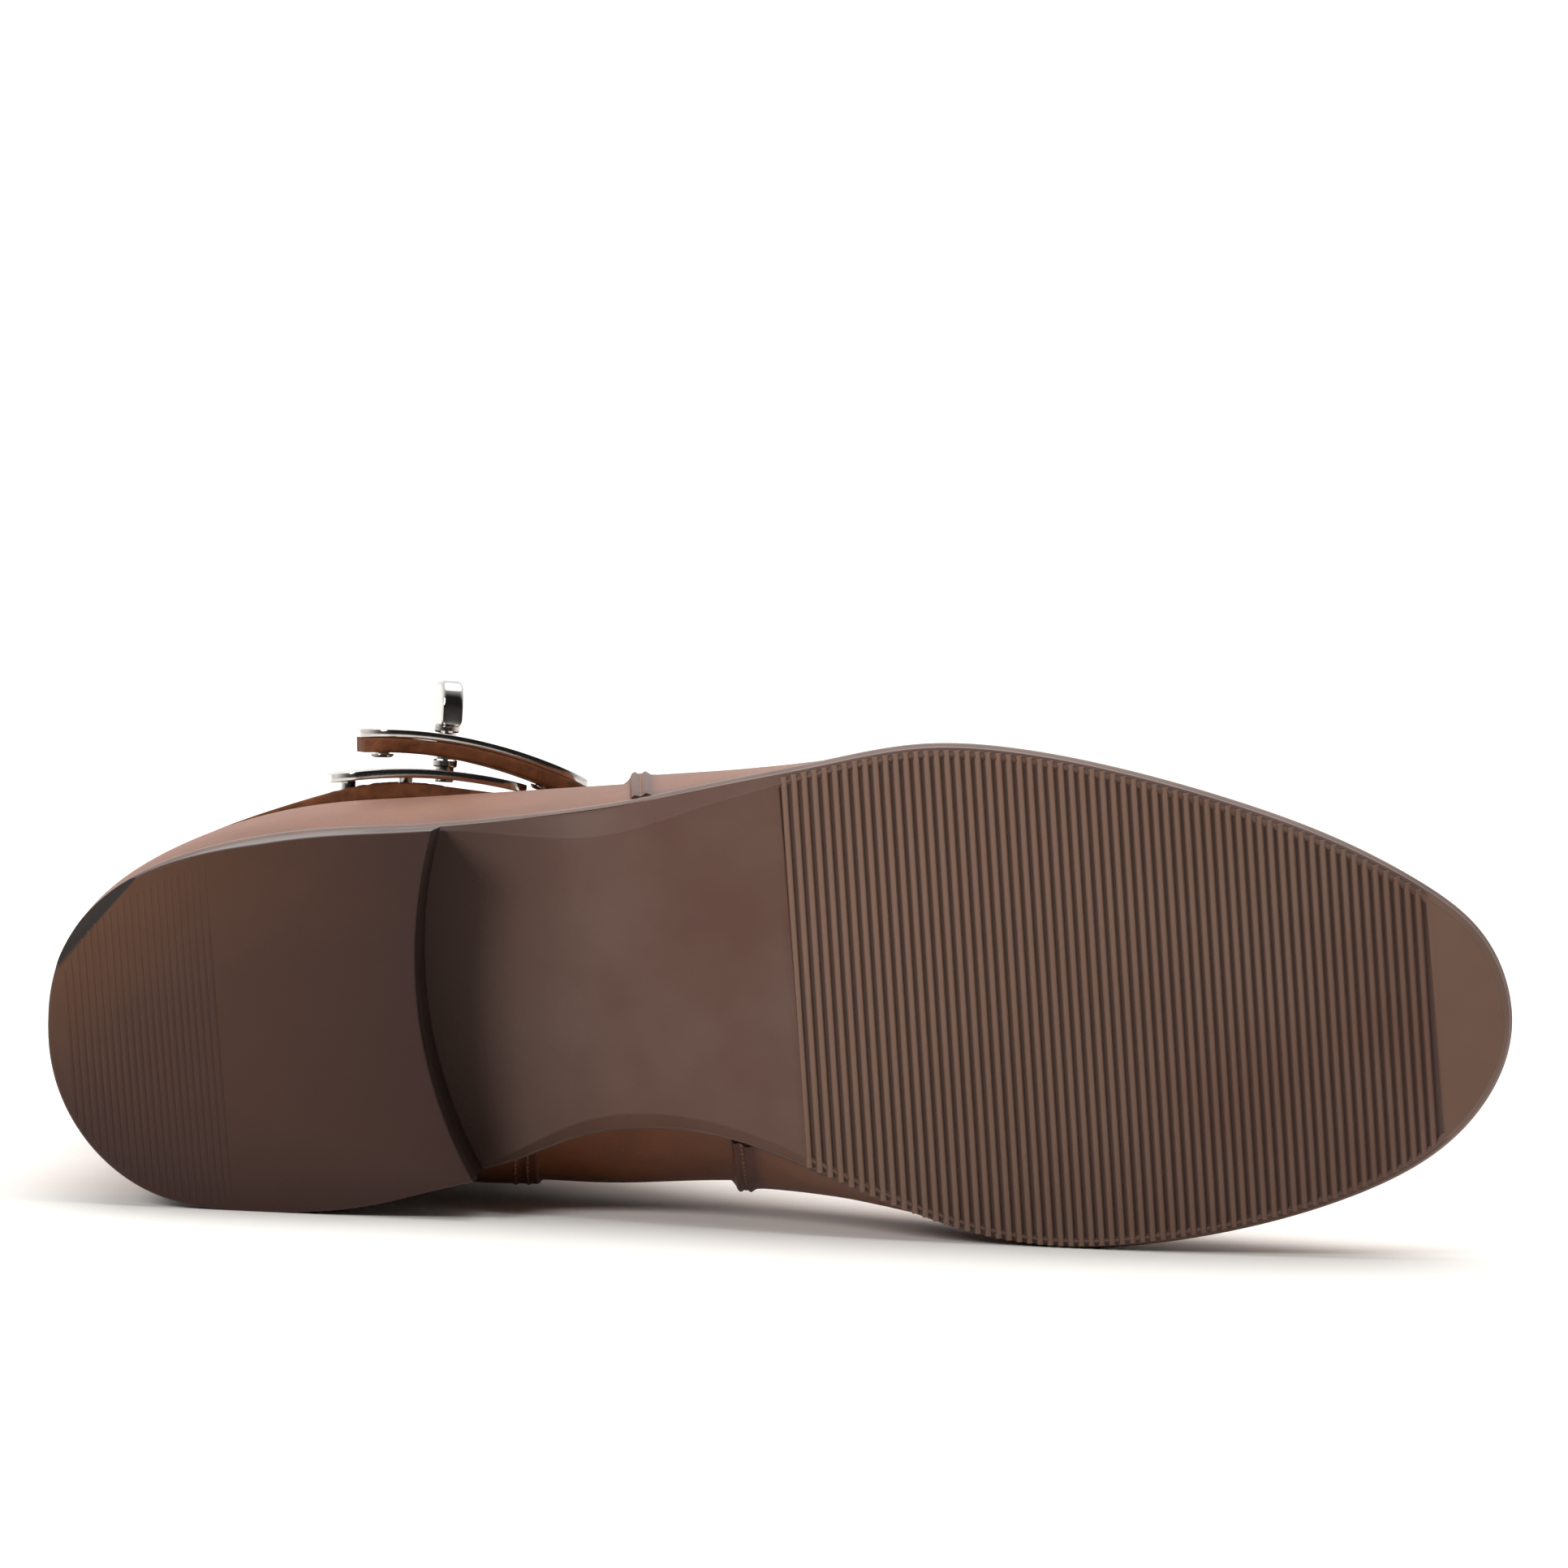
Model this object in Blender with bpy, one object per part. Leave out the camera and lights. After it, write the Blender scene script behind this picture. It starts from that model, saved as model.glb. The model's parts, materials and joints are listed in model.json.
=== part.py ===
"""Right-foot ankle boot with a turn-lock strap, lying on its inner side.

The pieces are modelled upright in the boot's own frame: X runs from the back of the heel to the toe,
Y points to the inner (medial) side and Z up the leg, with the tread on Z = 0. One empty then lays the
whole boot down on its inner side, on the plane that touches its heel edge, sole edge and shaft.
Tables are in millimetres and are brought to metres where they are read.
"""

import math

import bmesh
import bpy
import numpy as np
from mathutils import Matrix, Vector

MM = 0.001
FIT_GAP = 0.3 * MM  # air left between two pieces that meet

# Main sizes
SOLE_LENGTH = 260 * MM
LEATHER = 2.0 * MM  # thickness of the upper's wall, lining included
INSOLE_THICKNESS = 3.0 * MM
INSOLE_RISE = 0.4 * MM  # air under the insole
TOP_PIECE_HEIGHT = 6.0 * MM
WAIST_BULGE = 3.6 * MM  # the inner quarter hangs over the narrow waist by this much
WAIST_BULGE_X, WAIST_BULGE_LENGTH = 98 * MM, 20 * MM
FEATHER_SCALE = 0.945  # breadth of the upper where it meets the sole, as a share of the sole's

LATERAL, MEDIAL = -1, 1  # the outer and the inner side of the foot, as the sign of Y

# The sole's outline from above: distance from the heel's back, then the breadth on each side of the axis
SOLE_BACK_Y = 0.7
SOLE_TIP_Y = 17.0
SOLE_OUTLINE = (
    # x, lateral, medial
    (6, 17.2, 19.4),
    (18, 26.2, 29.6),
    (36, 30.8, 33.7),
    (54, 31.7, 34.2),
    (70, 31.2, 31.9),
    (80, 31.3, 30.3),
    (92, 31.9, 26.6),
    (105, 33.1, 25.4),
    (120, 35.4, 28.3),
    (140, 38.2, 37.7),
    (158, 40.0, 46.5),
    (175, 38.0, 51.4),
    (192, 33.4, 52.3),
    (210, 26.8, 50.9),
    (228, 18.6, 47.4),
    (245, 8.0, 40.6),
    (255, -1.4, 31.4),
)

# The sole from the side: height of its underside and its thickness, with flat tread under the ball
SOLE_PROFILE = (
    # x, underside, thickness
    (0, 21.0, 4.0),
    (36, 20.3, 4.0),
    (72, 18.9, 4.0),
    (90, 15.4, 4.2),
    (110, 8.5, 4.6),
    (126, 3.4, 5.0),
    (140, 0.6, 5.0),
    (152, 0.0, 5.0),
    (188, 0.0, 5.0),
    (210, 1.5, 5.0),
    (236, 5.6, 4.8),
    (260, 10.8, 4.6),
)

# Bevel between the sole's underside and its edge: wide along the outer side of the waist
SOLE_BEVEL = (
    # x, lateral width, lateral height, medial width, medial height
    (0, 0.4, 0.4, 0.4, 0.4),
    (72, 0.8, 0.8, 0.8, 0.8),
    (100, 4.6, 2.4, 2.4, 1.8),
    (122, 2.6, 1.6, 1.8, 1.4),
    (142, 1.2, 1.0, 1.0, 1.0),
    (260, 1.2, 1.2, 1.0, 1.2),
)
SOLE_EDGE_STEP = 0.5 * MM  # the lower part of the edge stands back from the upper part
SOLE_EDGE_STEP_DROP = 1.7 * MM

# The upper as rings from the sole up to the collar. A ring runs from a point on the heel's back line to
# one on the toe and instep line. Its rises are heights above the sole's top face at those two points.
UPPER_RINGS = (
    # back x, back rise, front x, front rise, lateral, medial, widest from on the outer side, widest to, hug
    (1.8, 0.3, 255.6, 0.3, 40.0, 45.0, 0.20, 0.50, 1.00),
    (1.0, 7.0, 256.8, 5.5, 39.0, 44.5, 0.21, 0.48, 0.87),
    (0.6, 15.0, 255.0, 12.5, 38.0, 43.5, 0.23, 0.46, 0.70),
    (0.9, 23.0, 248.0, 19.8, 36.8, 41.0, 0.25, 0.43, 0.52),
    (2.6, 31.5, 231.0, 29.0, 35.6, 38.5, 0.265, 0.41, 0.34),
    (5.6, 41.0, 203.0, 42.0, 33.8, 36.4, 0.28, 0.39, 0.18),
    (8.2, 51.0, 173.0, 55.5, 31.2, 34.8, 0.39, 0.39, 0.08),
    (10.6, 62.0, 146.0, 69.0, 26.8, 33.4, 0.41, 0.41, 0.03),
    (11.8, 74.0, 124.0, 82.0, 25.4, 32.6, 0.43, 0.44, 0.00),
    (11.6, 87.0, 111.5, 94.5, 25.6, 33.4, 0.47, 0.47, 0.00),
    (10.8, 101.0, 107.0, 108.5, 25.2, 34.8, 0.49, 0.49, 0.00),
    (9.8, 117.0, 105.5, 123.0, 24.4, 36.2, 0.50, 0.50, 0.00),
)
RIDGE_Y = (
    # x, sideways place of the toe and instep line
    (90, 1.2),
    (130, 2.6),
    (175, 6.5),
    (215, 11.5),
    (260, 17.0),
)
RING_STEPS = 17  # rows of faces from sole to collar
SIDE_STEPS = 30  # stations along each side, from heel to toe

# Overlays on the upper: the vamp lies over the quarters, and the counter's edge over the inner quarter
VAMP_EDGE = {LATERAL: 106.8 * MM, MEDIAL: 120 * MM}
COUNTER_EDGE = 85 * MM
OVERLAY_EDGE = 0.5 * MM  # length over which an overlay's cut edge climbs
OVERLAY_UPRIGHT_TO = 0.45  # level up to which the overlays' edges climb upright
VAMP_STEP = 1.3 * MM
VAMP_STEP_ON_SHAFT = 0.25 * MM
COUNTER_STEP = 0.8 * MM
COUNTER_SKIVE = 26 * MM  # the counter thins away to nothing over this length behind its edge

# Heel
HEEL_SLAB_LENGTH = 84 * MM  # before its front face is cut
BREAST_X, BREAST_Y = 66.3 * MM, -3.2 * MM  # deepest point of the heel's hollow front face, at the tread
BREAST_RADIUS = 83 * MM
BREAST_PITCH = 2.0 * MM  # the front face leans forward by this much from tread to seat
HEEL_FLARE_SPAN = 12 * MM  # from the middle of the heel to where the flare is whole
HEEL_FLARE = 1.0 * MM  # the tread stands out this far beyond the seat, on the outer side
HEEL_FLARE_BACK = 1.2  # share of it that is added towards the back
STRIKE_BEVEL_POINT = Vector((8.6 * MM, -18.7 * MM, 0))
STRIKE_BEVEL_NORMAL = Vector((-0.40, -0.42, -0.82))

# Strap round the ankle, wound once and overlapped on the outer side
STRAP_BACK_Z, STRAP_FRONT_Z = 81 * MM, 94 * MM  # middle of the strap at the heel and at the instep
STRAP_RUN = 112 * MM  # from heel to instep at its height
STRAP_WIDTH = 18.6 * MM
STRAP_THICKNESS = 2.4 * MM
STRAP_OVER_UPPER = VAMP_STEP_ON_SHAFT + FIT_GAP + 0.5 * MM
STRAP_FRONT_SLACK = 1.7 * MM  # it stands a little off the hollow of the instep
STRAP_START_X = 84 * MM  # inner end, under the clasp's base
STRAP_LEAVES_SHARE = 0.80  # where the outer end leaves the shaft
STRAP_STEPS = 60
STRAP_END_ROUND = 7 * MM
CLASP_SLACK = 3.2 * MM  # the clasp's base holds the strap off the shaft
CLASP_SLACK_LOW = 2.2 * MM
CLASP_SLACK_X, CLASP_SLACK_LENGTH = 63 * MM, 15 * MM

# Turn-lock clasp, built about its post: along the strap, across it, and up off the boot
POST_X = 72.3 * MM
POST_LEAN = math.radians(8)  # towards the toe
POST_RISE = math.radians(5)  # up the leg, as the shaft leans there
PLATE_WIDTH = 18 * MM
PLATE_CORNER = 6 * MM
PLATE_BACK, PLATE_FRONT = -16.0 * MM, 25.6 * MM
PLATE_RADIUS = 80 * MM
PLATE_TILT = math.radians(-6.0)
PLATE_THICKNESS = 1.5 * MM
PLATE_RIVETS = (-11.6 * MM, 19.2 * MM)
PLATE_TOP = 9.6 * MM  # above the strap's inner turn, at the post
BASE_WIDTH = 17 * MM
BASE_CORNER = 5 * MM
BASE_BACK, BASE_FRONT = -20.8 * MM, 14.6 * MM
BASE_RADIUS = 85 * MM
BASE_THICKNESS = 1.6 * MM
BASE_TOP = 3.1 * MM
BASE_LEGS = (-17.2 * MM, -6.9 * MM)
SLOT_LENGTH, SLOT_WIDTH = 17 * MM, 6.0 * MM
POST_RADIUS = 1.7 * MM
POST_FOOT = 1.0 * MM  # end of the post, inside the base
COLLAR_RADIUS = 2.3 * MM
COLLAR_HEIGHT = 1.0 * MM
FLANGE_RADIUS = 2.2 * MM  # ring on the post that carries the strap's outer end
FLANGE_HEIGHT = 1.4 * MM
TOGGLE_HEIGHT = 8.4 * MM
TOGGLE_LENGTH = 15 * MM
TOGGLE_THICKNESS = 3.8 * MM
TOGGLE_EDGE = 0.8 * MM
TOGGLE_STEPS = 12
RIVET_RADIUS = 1.3 * MM
RIVET_HEAD = 2.2 * MM
RIVET_HEAD_HEIGHT = 0.7 * MM
ROUND_SIDES = 16
PLATE_STEPS = 16


def hermite(knots, values, slopes, at):
    """Cubic through the knots with the given slopes."""
    place = np.clip(np.searchsorted(knots, at, side="right") - 1, 0, len(knots) - 2)
    step = knots[place + 1] - knots[place]
    u = (at - knots[place]) / step
    return (
        values[place] * (1 + 2 * u) * (1 - u) ** 2
        + slopes[place] * step * u * (1 - u) ** 2
        + values[place + 1] * u**2 * (3 - 2 * u)
        + slopes[place + 1] * step * u**2 * (u - 1)
    )


def flowing(knots, values, at):
    """Curve through the knots with no jump in its curvature, as a batten bends."""
    knots, values = np.asarray(knots, float), np.asarray(values, float)
    steps, rates = np.diff(knots), np.diff(values) / np.diff(knots)
    size = len(knots)
    system, right = np.zeros((size, size)), np.zeros(size)
    for i in range(1, size - 1):
        system[i, i - 1 : i + 2] = steps[i], 2 * (steps[i - 1] + steps[i]), steps[i - 1]
        right[i] = 3 * (rates[i - 1] * steps[i] + rates[i] * steps[i - 1])
    system[0, :2], right[0] = (2, 1), 3 * rates[0]
    system[-1, -2:], right[-1] = (1, 2), 3 * rates[-1]
    return hermite(knots, values, np.linalg.solve(system, right), np.asarray(at, float))


def level_keeping(knots, values, at):
    """Curve through the knots that never overshoots, so that level stretches stay level."""
    knots, values = np.asarray(knots, float), np.asarray(values, float)
    rates = np.diff(values) / np.diff(knots)
    slopes = np.zeros(len(knots))
    same_way = rates[:-1] * rates[1:] > 0
    harmonic = 2 * rates[:-1] * rates[1:] / np.where(same_way, rates[:-1] + rates[1:], 1)
    slopes[1:-1] = np.where(same_way, harmonic, 0)
    slopes[0], slopes[-1] = rates[0], rates[-1]
    at = np.clip(np.asarray(at, float), knots[0], knots[-1])
    return hermite(knots, values, slopes, at)


def column(table, name_index):
    return np.array([row[name_index] for row in table], float) * MM


def side_share(steps):
    """Shares of the length from heel to toe, close together at the two round ends."""
    return (1 - np.cos(np.linspace(0, math.pi, steps + 1))) / 2


# The sole's own shape

def sole_y(share, side):
    """Sideways place of the sole's edge at a share of its length."""
    turn = np.arccos(1 - 2 * np.clip(share, 0, 1))
    knots = np.arccos(1 - 2 * column(SOLE_OUTLINE, 0) / SOLE_LENGTH)
    breadth = side * column(SOLE_OUTLINE, 1 if side == LATERAL else 2)
    knots = np.concatenate([[0], knots, [math.pi]])
    breadth = np.concatenate([[SOLE_BACK_Y * MM], breadth, [SOLE_TIP_Y * MM]])
    return flowing(knots, breadth, turn)


def sole_middle(share):
    return (sole_y(share, LATERAL) + sole_y(share, MEDIAL)) / 2


def underside_z(x):
    return level_keeping(column(SOLE_PROFILE, 0), column(SOLE_PROFILE, 1), x)


def sole_top_z(x):
    thickness = level_keeping(column(SOLE_PROFILE, 0), column(SOLE_PROFILE, 2), x)
    return underside_z(x) + thickness


def bevel(x, side, measure):
    """Width or height of the sole's lower bevel."""
    knots, first = column(SOLE_BEVEL, 0), {"width": 1, "height": 2}[measure]
    lateral = level_keeping(knots, column(SOLE_BEVEL, first), x)
    medial = level_keeping(knots, column(SOLE_BEVEL, first + 2), x)
    return np.where(side == LATERAL, lateral, medial)


def sole_edge(turn):
    """Points of the sole's edge; turn is 0 at the heel, pi at the toe, negative on the outer side."""
    wrapped = np.where(np.abs(turn) > math.pi, turn - 2 * math.pi * np.sign(turn), turn)
    share = (1 - np.cos(wrapped)) / 2
    y = np.where(wrapped < 0, sole_y(share, LATERAL), sole_y(share, MEDIAL))
    return np.stack([share * SOLE_LENGTH, y], axis=-1)


def inset_edge(turn, pull):
    """The sole's edge pulled in square to itself."""
    small = 1e-3
    heading = sole_edge(turn + small) - sole_edge(turn - small)
    heading /= np.linalg.norm(heading, axis=-1, keepdims=True)
    inward = np.stack([-heading[..., 1], heading[..., 0]], axis=-1)
    return sole_edge(turn) - inward * np.asarray(pull)[..., None]


def round_turns(steps):
    """Turns all round the sole: out along the outer side to the toe, back along the inner."""
    out = np.linspace(0, math.pi, steps + 1)
    return np.concatenate([-out, out[-2:0:-1]])


def sole_ring(turns, inset, height):
    """Ring of points round the sole; inset and height take x and the side."""
    side = np.where(turns < 0, LATERAL, MEDIAL)
    x = sole_edge(turns)[:, 0]
    flat = inset_edge(turns, inset(x, side))
    return np.column_stack([flat, height(flat[:, 0], side)])


# The upper's own shape

def oval(share, first, last):
    """Half-breadth of an egg from heel to toe as a share of its largest, which it has from first to last."""
    away = np.where(share < first, 1 - share / first, np.clip((share - last) / (1 - last), 0, 1))
    return np.sqrt(np.clip(1 - away**2, 0, 1))


def upper_base(level, share, side):
    """Points of the upper's face without its overlays; level runs from 0, the sole, to 1, the collar."""
    level, share, side = np.broadcast_arrays(np.asarray(level, float), share, side)
    knots = np.linspace(0, 1, len(UPPER_RINGS))

    def ring(index, scale=MM):
        values = [row[index] * scale for row in UPPER_RINGS]
        return level_keeping(knots, values, level)

    back_x, front_x = ring(0), ring(2)
    back_rise, front_rise = ring(1), ring(3)
    breadth = np.where(side == LATERAL, ring(4), ring(5))
    last, hug = ring(7, 1), ring(8, 1)
    first = np.where(side == LATERAL, ring(6, 1), last)
    x = back_x + (front_x - back_x) * share
    back_z, front_z = sole_top_z(back_x) + back_rise, sole_top_z(front_x) + front_rise
    hugging_z = sole_top_z(x) + back_rise + (front_rise - back_rise) * share
    z = hug * hugging_z + (1 - hug) * (back_z + (front_z - back_z) * share)
    ridge = flowing(column(RIDGE_Y, 0), column(RIDGE_Y, 1), np.maximum(front_x, RIDGE_Y[0][0] * MM))
    egg_y = ridge * share**2 + side * breadth * oval(share, first, last)
    edge = np.where(side == LATERAL, sole_y(share, LATERAL), sole_y(share, MEDIAL))
    middle = sole_middle(share)
    sole_hugging_y = middle + (edge - middle) * FEATHER_SCALE
    over_waist = WAIST_BULGE * 4 * hug * (1 - hug) * np.exp(-(((x - WAIST_BULGE_X) / WAIST_BULGE_LENGTH) ** 2))
    y = hug * sole_hugging_y + (1 - hug) * egg_y + np.where(side == MEDIAL, over_waist, 0)
    return np.stack([x, y, z], axis=-1)


def upper_normal(level, share, side):
    """Outward direction of the upper's face."""
    small = 1e-3
    above = upper_base(np.minimum(level + small, 1), share, side)
    up = above - upper_base(np.maximum(level - small, 0), share, side)
    # Near heel and toe the two sides meet, so the turn round the ring is taken as an angle.
    turn = np.arccos(1 - 2 * np.clip(share, 0, 1)) * np.asarray(side)

    def at_turn(value):
        wrapped = np.where(np.abs(value) > math.pi, value - 2 * math.pi * np.sign(value), value)
        return upper_base(level, (1 - np.cos(wrapped)) / 2, np.where(wrapped < 0, LATERAL, MEDIAL))

    around = at_turn(turn + small) - at_turn(turn - small)
    normal = np.cross(up, around)
    return normal / np.linalg.norm(normal, axis=-1, keepdims=True)


def edge_share(x):
    """Share of the upper's sole line at a distance from the heel's back."""
    back, front = UPPER_RINGS[0][0] * MM, UPPER_RINGS[0][2] * MM
    return (x - back) / (front - back)


def ring_value(level, index):
    """One size of the upper's rings, in metres, at a level between them."""
    values = [row[index] * MM for row in UPPER_RINGS]
    return level_keeping(np.linspace(0, 1, len(UPPER_RINGS)), values, level)


def bent_share(level, share, side):
    """Moves stations forward as the rings grow shorter, so that the overlays' edges climb upright."""
    upright = np.minimum(level, OVERLAY_UPRIGHT_TO)
    x = np.where(side == LATERAL, VAMP_EDGE[LATERAL], VAMP_EDGE[MEDIAL])
    low = edge_share(x)
    here = (x - ring_value(upright, 0)) / (ring_value(upright, 2) - ring_value(upright, 0))
    return np.where(share < low, share * here / low, 1 - (1 - share) * (1 - here) / (1 - low))


def overlay(level, share, side):
    """How far the vamp and the counter stand off the upper's face."""
    soft = np.clip((level - 0.38) / 0.1, 0, 1)
    vamp_height = VAMP_STEP + (VAMP_STEP_ON_SHAFT - VAMP_STEP) * soft
    edge = np.where(side == LATERAL, edge_share(VAMP_EDGE[LATERAL]), edge_share(VAMP_EDGE[MEDIAL]))
    vamp = np.where(share > edge, vamp_height, 0)
    behind = (edge_share(COUNTER_EDGE) - share) * SOLE_LENGTH
    skived = np.clip(1 - behind / COUNTER_SKIVE, 0, 1)
    counter = np.where((side == MEDIAL) & (behind > 0), COUNTER_STEP * skived * (1 - 0.6 * soft), 0)
    return vamp + counter


def upper_columns():
    """Stations round the upper, with a pair of close ones at each overlay's edge."""
    shares = side_share(SIDE_STEPS)
    half_edge = OVERLAY_EDGE / 2 / SOLE_LENGTH
    columns = []
    for side in (LATERAL, MEDIAL):
        edges = [edge_share(VAMP_EDGE[side])]
        if side == MEDIAL:
            edges.append(edge_share(COUNTER_EDGE))
        clear = [s for s in shares if all(abs(s - edge) > 0.008 for edge in edges)]
        pairs = [edge + sign * half_edge for edge in edges for sign in (-1, 1)]
        along = sorted(clear + pairs)
        columns += [(side, s) for s in (along if side == LATERAL else along[-2:0:-1])]
    sides, shares = np.array(columns, float).T
    return sides, shares


# Meshes and objects

def finish_object(name, mesh, material, parent, smooth_angle=35):
    mesh.shade_smooth()
    mesh.set_sharp_from_angle(angle=math.radians(smooth_angle))
    mesh.materials.append(material)
    made = bpy.data.objects.new(name, mesh)
    made.parent = parent
    bpy.context.scene.collection.objects.link(made)
    return made


def mesh_from(name, points, faces):
    mesh = bpy.data.meshes.new(name)
    mesh.from_pydata([tuple(p) for p in points], [], faces)
    shape = bmesh.new()
    shape.from_mesh(mesh)
    bmesh.ops.remove_doubles(shape, verts=shape.verts, dist=1e-6)
    bmesh.ops.dissolve_degenerate(shape, edges=shape.edges, dist=1e-7)
    bmesh.ops.recalc_face_normals(shape, faces=shape.faces)
    shape.to_mesh(mesh)
    shape.free()
    return mesh


def stacked_rings(rings):
    """Points and side faces of closed rings stacked one on the next."""
    count = len(rings[0])
    faces = []
    for low in range(len(rings) - 1):
        for i in range(count):
            a, b = low * count + i, low * count + (i + 1) % count
            faces.append((a, b, b + count, a + count))
    return np.vstack(rings), faces


def strip_cap(first, count):
    """Faces across a ring that runs out along one side and back along the other."""
    half = count // 2
    faces = [(first, first + 1, first + count - 1)]
    for i in range(1, half - 1):
        faces.append((first + i, first + i + 1, first + count - i - 1, first + count - i))
    faces.append((first + half - 1, first + half, first + half + 1))
    return faces


def ring_solid(name, rings):
    """Closed solid from stacked rings with a strip cap at each end."""
    points, faces = stacked_rings(rings)
    count = len(rings[0])
    faces += strip_cap(0, count) + strip_cap((len(rings) - 1) * count, count)
    return mesh_from(name, points, faces)


def material(name, colour, roughness, metallic=0.0):
    made = bpy.data.materials.new(name)
    made.use_nodes = True
    shader = made.node_tree.nodes["Principled BSDF"]
    shader.inputs["Base Color"].default_value = (*colour, 1)
    shader.inputs["Roughness"].default_value = roughness
    shader.inputs["Metallic"].default_value = metallic
    made.diffuse_color = (*colour, 1)
    return made


def tool(name, mesh, parent):
    """Object that only cuts or joins another, and stays out of the model."""
    made = bpy.data.objects.new(name, mesh)
    made.parent = parent
    made.hide_render = True
    made.display_type = "WIRE"
    bpy.context.scene.collection.objects.link(made)
    return made


def combine(target, other, operation):
    step = target.modifiers.new(other.name, "BOOLEAN")
    step.operation = operation
    step.object = other
    step.solver = "EXACT"


def outsole(rubber, parent):
    turns = round_turns(SIDE_STEPS)
    step_z = SOLE_EDGE_STEP_DROP + SOLE_EDGE_STEP
    rings = [
        sole_ring(turns, lambda x, side: 0 * x, lambda x, side: sole_top_z(x)),
        sole_ring(turns, lambda x, side: 0 * x, lambda x, side: sole_top_z(x) - SOLE_EDGE_STEP_DROP),
        sole_ring(turns, lambda x, side: 0 * x + SOLE_EDGE_STEP, lambda x, side: sole_top_z(x) - step_z),
        sole_ring(
            turns,
            lambda x, side: 0 * x + SOLE_EDGE_STEP,
            lambda x, side: underside_z(x) + bevel(x, side, "height"),
        ),
        sole_ring(
            turns,
            lambda x, side: SOLE_EDGE_STEP + bevel(x, side, "width"),
            lambda x, side: underside_z(x),
        ),
    ]
    return finish_object("outsole", ring_solid("outsole", rings), rubber, parent)


def breast_cutter(name, parent):
    """Upright cone that hollows the heel's front face and leans it forward towards the seat."""
    height = 60 * MM
    lean = BREAST_PITCH / (underside_z(BREAST_X))
    shape = bmesh.new()
    bmesh.ops.create_cone(
        shape,
        cap_ends=True,
        segments=96,
        radius1=BREAST_RADIUS + lean * height / 2,
        radius2=BREAST_RADIUS - lean * height / 2,
        depth=height,
        matrix=Matrix.Translation((BREAST_X + BREAST_RADIUS, BREAST_Y, 0)),
    )
    mesh = bpy.data.meshes.new(name)
    shape.to_mesh(mesh)
    shape.free()
    return tool(name, mesh, parent)


def flare_share(ring):
    """How much of the heel's flare each point of an outline has: none inside, most at the outer back."""
    back = 1 + HEEL_FLARE_BACK * np.clip((40 * MM - ring[:, 0]) / (25 * MM), 0, 1)
    return back * np.clip(-ring[:, 1] / HEEL_FLARE_SPAN, 0, 1)


def heel_slab(name, low, high, inset, flares):
    """Slab under the seat with the sole's outline, longer at the front than the heel needs.

    Its lower and upper outline stand out by the two flares on the outer side.
    """
    reach = math.acos(1 - 2 * HEEL_SLAB_LENGTH / SOLE_LENGTH)
    out = np.linspace(0, reach, 16)
    turns = np.concatenate([-out, out[:0:-1]])
    rings = []
    for height, flare in zip((low, high), flares):
        ring = sole_ring(turns, lambda x, side: 0 * x + inset, lambda x, side: height(x))
        ring[:, 1] -= flare * flare_share(ring)
        rings.append(ring)
    points, faces = stacked_rings(rings)
    count, half = len(turns), len(out)
    for first in (0, count):
        faces.append((first, first + 1, first + count - 1))
        for i in range(1, half - 1):
            faces.append((first + i, first + i + 1, first + count - i - 1, first + count - i))
    return mesh_from(name, points, faces)


def heel(block_material, rubber, parent):
    """Heel block and the tread layer nailed under it, both cut by one hollow front face."""
    block_inset, tread_inset = 0.5 * MM, 0.2 * MM
    seat = SOLE_PROFILE[0][1] * MM

    def flare(height):
        return HEEL_FLARE * (1 - height / seat)

    block = finish_object(
        "heel_block",
        heel_slab(
            "heel_block",
            lambda x: 0 * x + TOP_PIECE_HEIGHT + FIT_GAP,
            lambda x: underside_z(x) - FIT_GAP,
            block_inset,
            (flare(TOP_PIECE_HEIGHT), 0),
        ),
        block_material,
        parent,
    )
    mesh = heel_slab(
        "heel_top_piece",
        lambda x: 0 * x,
        lambda x: 0 * x + TOP_PIECE_HEIGHT,
        tread_inset,
        (flare(0), flare(TOP_PIECE_HEIGHT)),
    )
    shape = bmesh.new()
    shape.from_mesh(mesh)
    cut = bmesh.ops.bisect_plane(
        shape,
        geom=shape.verts[:] + shape.edges[:] + shape.faces[:],
        plane_co=STRIKE_BEVEL_POINT,
        plane_no=STRIKE_BEVEL_NORMAL,
        clear_outer=True,
    )
    bmesh.ops.edgeloop_fill(shape, edges=[e for e in cut["geom_cut"] if isinstance(e, bmesh.types.BMEdge)])
    bmesh.ops.recalc_face_normals(shape, faces=shape.faces)
    shape.to_mesh(mesh)
    shape.free()
    tread = finish_object("heel_top_piece", mesh, rubber, parent)
    cutter = breast_cutter("breast_cutter", parent)
    for piece in (block, tread):
        combine(piece, cutter, "DIFFERENCE")


def upper(leather, parent):
    """One hollow wall from the sole to the collar, with the vamp and counter as steps in its face."""
    sides, shares = upper_columns()
    # Rows lie closer together over the toe, where the rings turn from wall to top.
    levels = np.linspace(0, 1, RING_STEPS + 1) ** 1.15
    outer, inner = [], []
    for level in levels:
        bent = bent_share(level, shares, sides)
        base = upper_base(level, bent, sides)
        normal = upper_normal(level, bent, sides)
        outer.append(base + normal * overlay(level, shares, sides)[:, None])
        inner.append(base - normal * LEATHER)
    for ring in (outer[0], inner[0]):
        ring[:, 2] = sole_top_z(ring[:, 0]) + FIT_GAP
    points, faces = stacked_rings(outer + inner[::-1])
    count, rows = len(sides), len(outer) + len(inner)
    last = (rows - 1) * count
    for i in range(count):
        nxt = (i + 1) % count
        faces.append((last + i, last + nxt, nxt, i))
    return finish_object("upper", mesh_from("upper", points, faces), leather, parent)


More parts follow.
